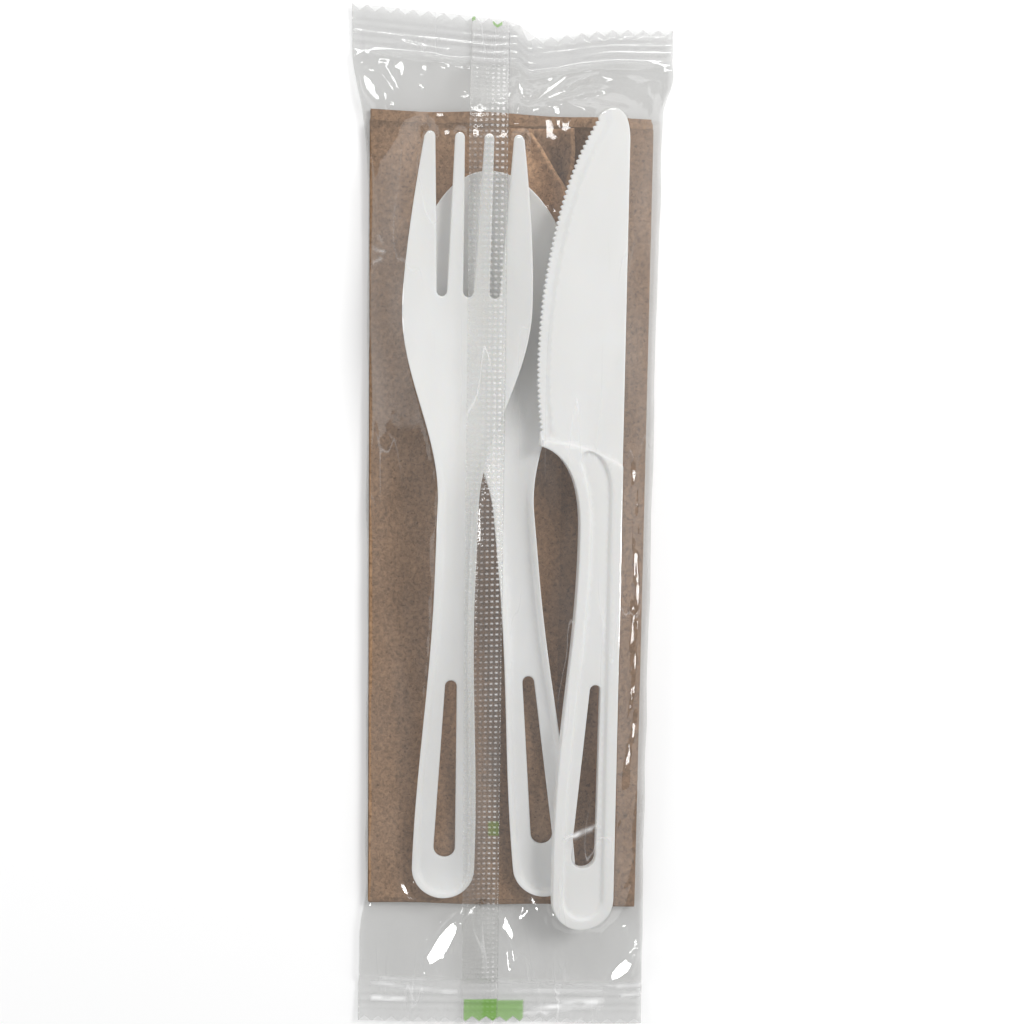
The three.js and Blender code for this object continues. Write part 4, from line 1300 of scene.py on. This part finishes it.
def plastic_material():
    n = Nodes("white_plastic")
    where = n.add("ShaderNodeTexCoord").outputs["Object"]
    cloud = n.cloud(where, 60.0, 3.0)
    colour = n.ramp(cloud, (0.3, 0.7), PLASTIC_COLOURS)
    grain = n.cloud(where, 1400.0, 2.0)
    rough = n.ramp(cloud, (0.3, 0.7), PLASTIC_ROUGHNESS)
    return n.finish(n.plain(colour, rough, **{
        "Normal": n.bump(grain, 0.06, 0.0002),
        "Subsurface Weight": 0.2,
        "Subsurface Radius": (0.0012, 0.001, 0.0008),
        "Subsurface Scale": 1.0,
    }))


def paper_material():
    n = Nodes("brown_paper")
    where = n.add("ShaderNodeTexCoord").outputs["Object"]
    cloud = n.cloud(where, 120.0, 6.0, Roughness=0.7)
    fibres = n.cloud(n.moved(where, (1150.0, 1000.0, 1100.0)), 1.0, 6.0, Roughness=0.7, Distortion=0.5)
    specks = n.cloud(where, 1500.0, 1.0)
    base = n.ramp(cloud, (0.3, 0.7), PAPER_COLOURS)
    streak = n.ramp(fibres, (0.32, 0.68), FIBRE_TONES)
    spot = n.ramp(specks, (0.28, 0.36), SPECK_TONES)
    # The napkin's tone, which holds its painted light, painted shade and painted edge highlights
    tone_and_painted_light = n.add("ShaderNodeAttribute", attribute_name="tone_and_painted_light").outputs["Color"]
    colour = n.times(n.times(n.times(base, streak), spot), tone_and_painted_light)
    return n.finish(n.plain(colour, 0.9, **{
        "Specular IOR Level": 0.2,
        "Normal": n.bump(n.maths("ADD", fibres, cloud), 0.75, 0.0003),
    }))


def film_material(name, gloss_share, clearness):
    """Clear film: mostly see-through, partly a mirror, white where welded, with painted reflections along
    streaks and on the fin's knurl, green where printed.
    """
    n = Nodes(name)
    where = n.add("ShaderNodeTexCoord").outputs["Object"]
    haze = n.cloud(n.moved(where, (160.0, 45.0, 100.0), 0.5), 1.0, 2.0)
    veil = n.between(haze, 0.35, 0.75, *gloss_share)
    tint = (clearness, clearness, clearness - 0.004, 1)
    clear = n.add("ShaderNodeBsdfTransparent", {"Color": tint}).outputs["BSDF"]
    gloss = n.plain((0.95, 0.95, 0.95, 1), FILM_ROUGHNESS, Metallic=0.8)
    scratch = n.cloud(n.moved(where, (190.0, 26.0, 60.0), -0.25), 1.0, 1.0)
    from_line = n.maths("ABSOLUTE", n.maths("SUBTRACT", scratch, 0.5))
    hairline = n.between(from_line, 0.0, 0.006, 0.22, 0.0)
    sparse = n.between(n.cloud(where, 38.0, 0.0), 0.55, 0.68, 0.0, 1.0)
    # White from welded seals, and painted reflections along the streaks and on the knurl dashes
    weld_and_painted_glints = n.add("ShaderNodeAttribute", attribute_name="weld_and_painted_glints").outputs["Fac"]
    whiteness = n.maths("MULTIPLY_ADD", weld_and_painted_glints, WELD_AND_GLINT_SHARE, n.maths("MULTIPLY", hairline, sparse))
    white = n.plain(WELD_AND_GLINT_COLOUR, 0.5)
    film = n.mixed(whiteness, n.mixed(veil, clear, gloss), white)
    printed = n.add("ShaderNodeAttribute", attribute_name="ink").outputs["Fac"]
    green = n.plain(INK_COLOUR, 0.3)
    return n.finish(n.mixed(n.maths("MULTIPLY", printed, INK_SHARE), film, green))


def floor_material():
    n = Nodes("pale_floor")
    return n.finish(n.plain(FLOOR_COLOUR, 0.9, **{
        "Specular IOR Level": 0.0,
        "Emission Color": (1, 1, 1, 1),
        "Emission Strength": 0.08,
    }))


# Stage

def add_light(name, at, aim, size, power, mirrored):
    data = bpy.data.lights.new(name, "AREA")
    data.shape = "RECTANGLE"
    data.size = size[0]
    data.size_y = size[1]
    data.energy = power
    lamp = bpy.data.objects.new(name, data)
    lamp.location = at
    lamp.visible_glossy = mirrored
    lamp.rotation_mode = "QUATERNION"
    lamp.rotation_quaternion = (Vector(aim) - Vector(at)).to_track_quat("-Z", "Y")
    bpy.context.scene.collection.objects.link(lamp)


def camera_back():
    """The way from the aim to the camera."""
    return Vector((0, CAMERA_LEAN, math.sqrt(1 - CAMERA_LEAN ** 2)))


def camera_eye():
    return (Vector(CAMERA_AIM) + CAMERA_DISTANCE * camera_back()) * MM


def add_camera():
    back = camera_back()
    level = Vector((1, 0, 0))
    up = back.cross(level)
    right = level * math.cos(CAMERA_ROLL) - up * math.sin(CAMERA_ROLL)
    up = up * math.cos(CAMERA_ROLL) + level * math.sin(CAMERA_ROLL)
    eye = camera_eye()
    data = bpy.data.cameras.new("camera")
    data.lens = CAMERA_LENS
    data.sensor_width = 36
    data.clip_start = 0.01
    camera = bpy.data.objects.new("camera", data)
    camera.matrix_world = Matrix((
        (right.x, up.x, back.x, eye.x),
        (right.y, up.y, back.y, eye.y),
        (right.z, up.z, back.z, eye.z),
        (0, 0, 0, 1),
    ))
    bpy.context.scene.collection.objects.link(camera)
    bpy.context.scene.camera = camera


def set_stage():
    scene = bpy.context.scene
    scene.view_settings.view_transform = "Standard"
    world = bpy.data.worlds.new("studio")
    world.use_nodes = True
    sky = world.node_tree.nodes["Background"].inputs
    sky["Color"].default_value = (1, 1, 1, 1)
    sky["Strength"].default_value = SKY_STRENGTH
    scene.world = world
    corners = FLOOR_HALF * np.array([(-1, -1, 0), (1, -1, 0), (1, 1, 0), (-1, 1, 0)], float)
    floor = new_piece("floor", corners, [[0, 1, 2, 3]], floor_material())
    floor.location.z = -FLOOR_DROP
    for name, lamp in LAMPS.items():
        add_light(name, *lamp)


# The pack

def film_piece(name, made, material):
    """A piece of the film from its grid, with where it is printed and where it is white."""
    points, printed, weld_and_painted_glints = made
    rows, columns = points.shape[:2]
    piece = new_piece(name, points.reshape(-1, 3), grid_faces(rows, columns), material)
    add_values(piece, "ink", printed)
    add_values(piece, "weld_and_painted_glints", weld_and_painted_glints)
    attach(piece, "root")
    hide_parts("film_wrapper")
    return piece


def main():
    add_camera()
    plastic = plastic_material()
    makers = {"spoon": spoon_mesh, "fork": fork_mesh, "knife": knife_mesh}
    meshes = {node: (*make(), plastic, "white_plastic") for node, make in makers.items()}
    napkin_points, napkin_faces, napkin_tone_and_painted_light = napkin_mesh()
    meshes["paper_napkin"] = (napkin_points, napkin_faces, paper_material(), "brown_paper")
    trees = []
    pieces = {}
    for node, (points, faces, material, slot) in meshes.items():
        trees.append(BVHTree.FromPolygons(points.tolist(), faces))
        pieces[node] = new_piece("look_" + node, points, faces, material)
        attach(pieces[node], "root")
        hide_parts(node)
    napkin = pieces["paper_napkin"]
    add_values(napkin, "tone_and_painted_light", napkin_tone_and_painted_light)
    front = film_front(trees)
    film = film_piece("look_film_wrapper", tube_mesh(*front), film_material("clear_film", *TUBE_LOOK))
    fin = film_piece("look_film_fin", fin_mesh(*front), film_material("clear_fin", *FIN_LOOK))
    set_stage()


main()
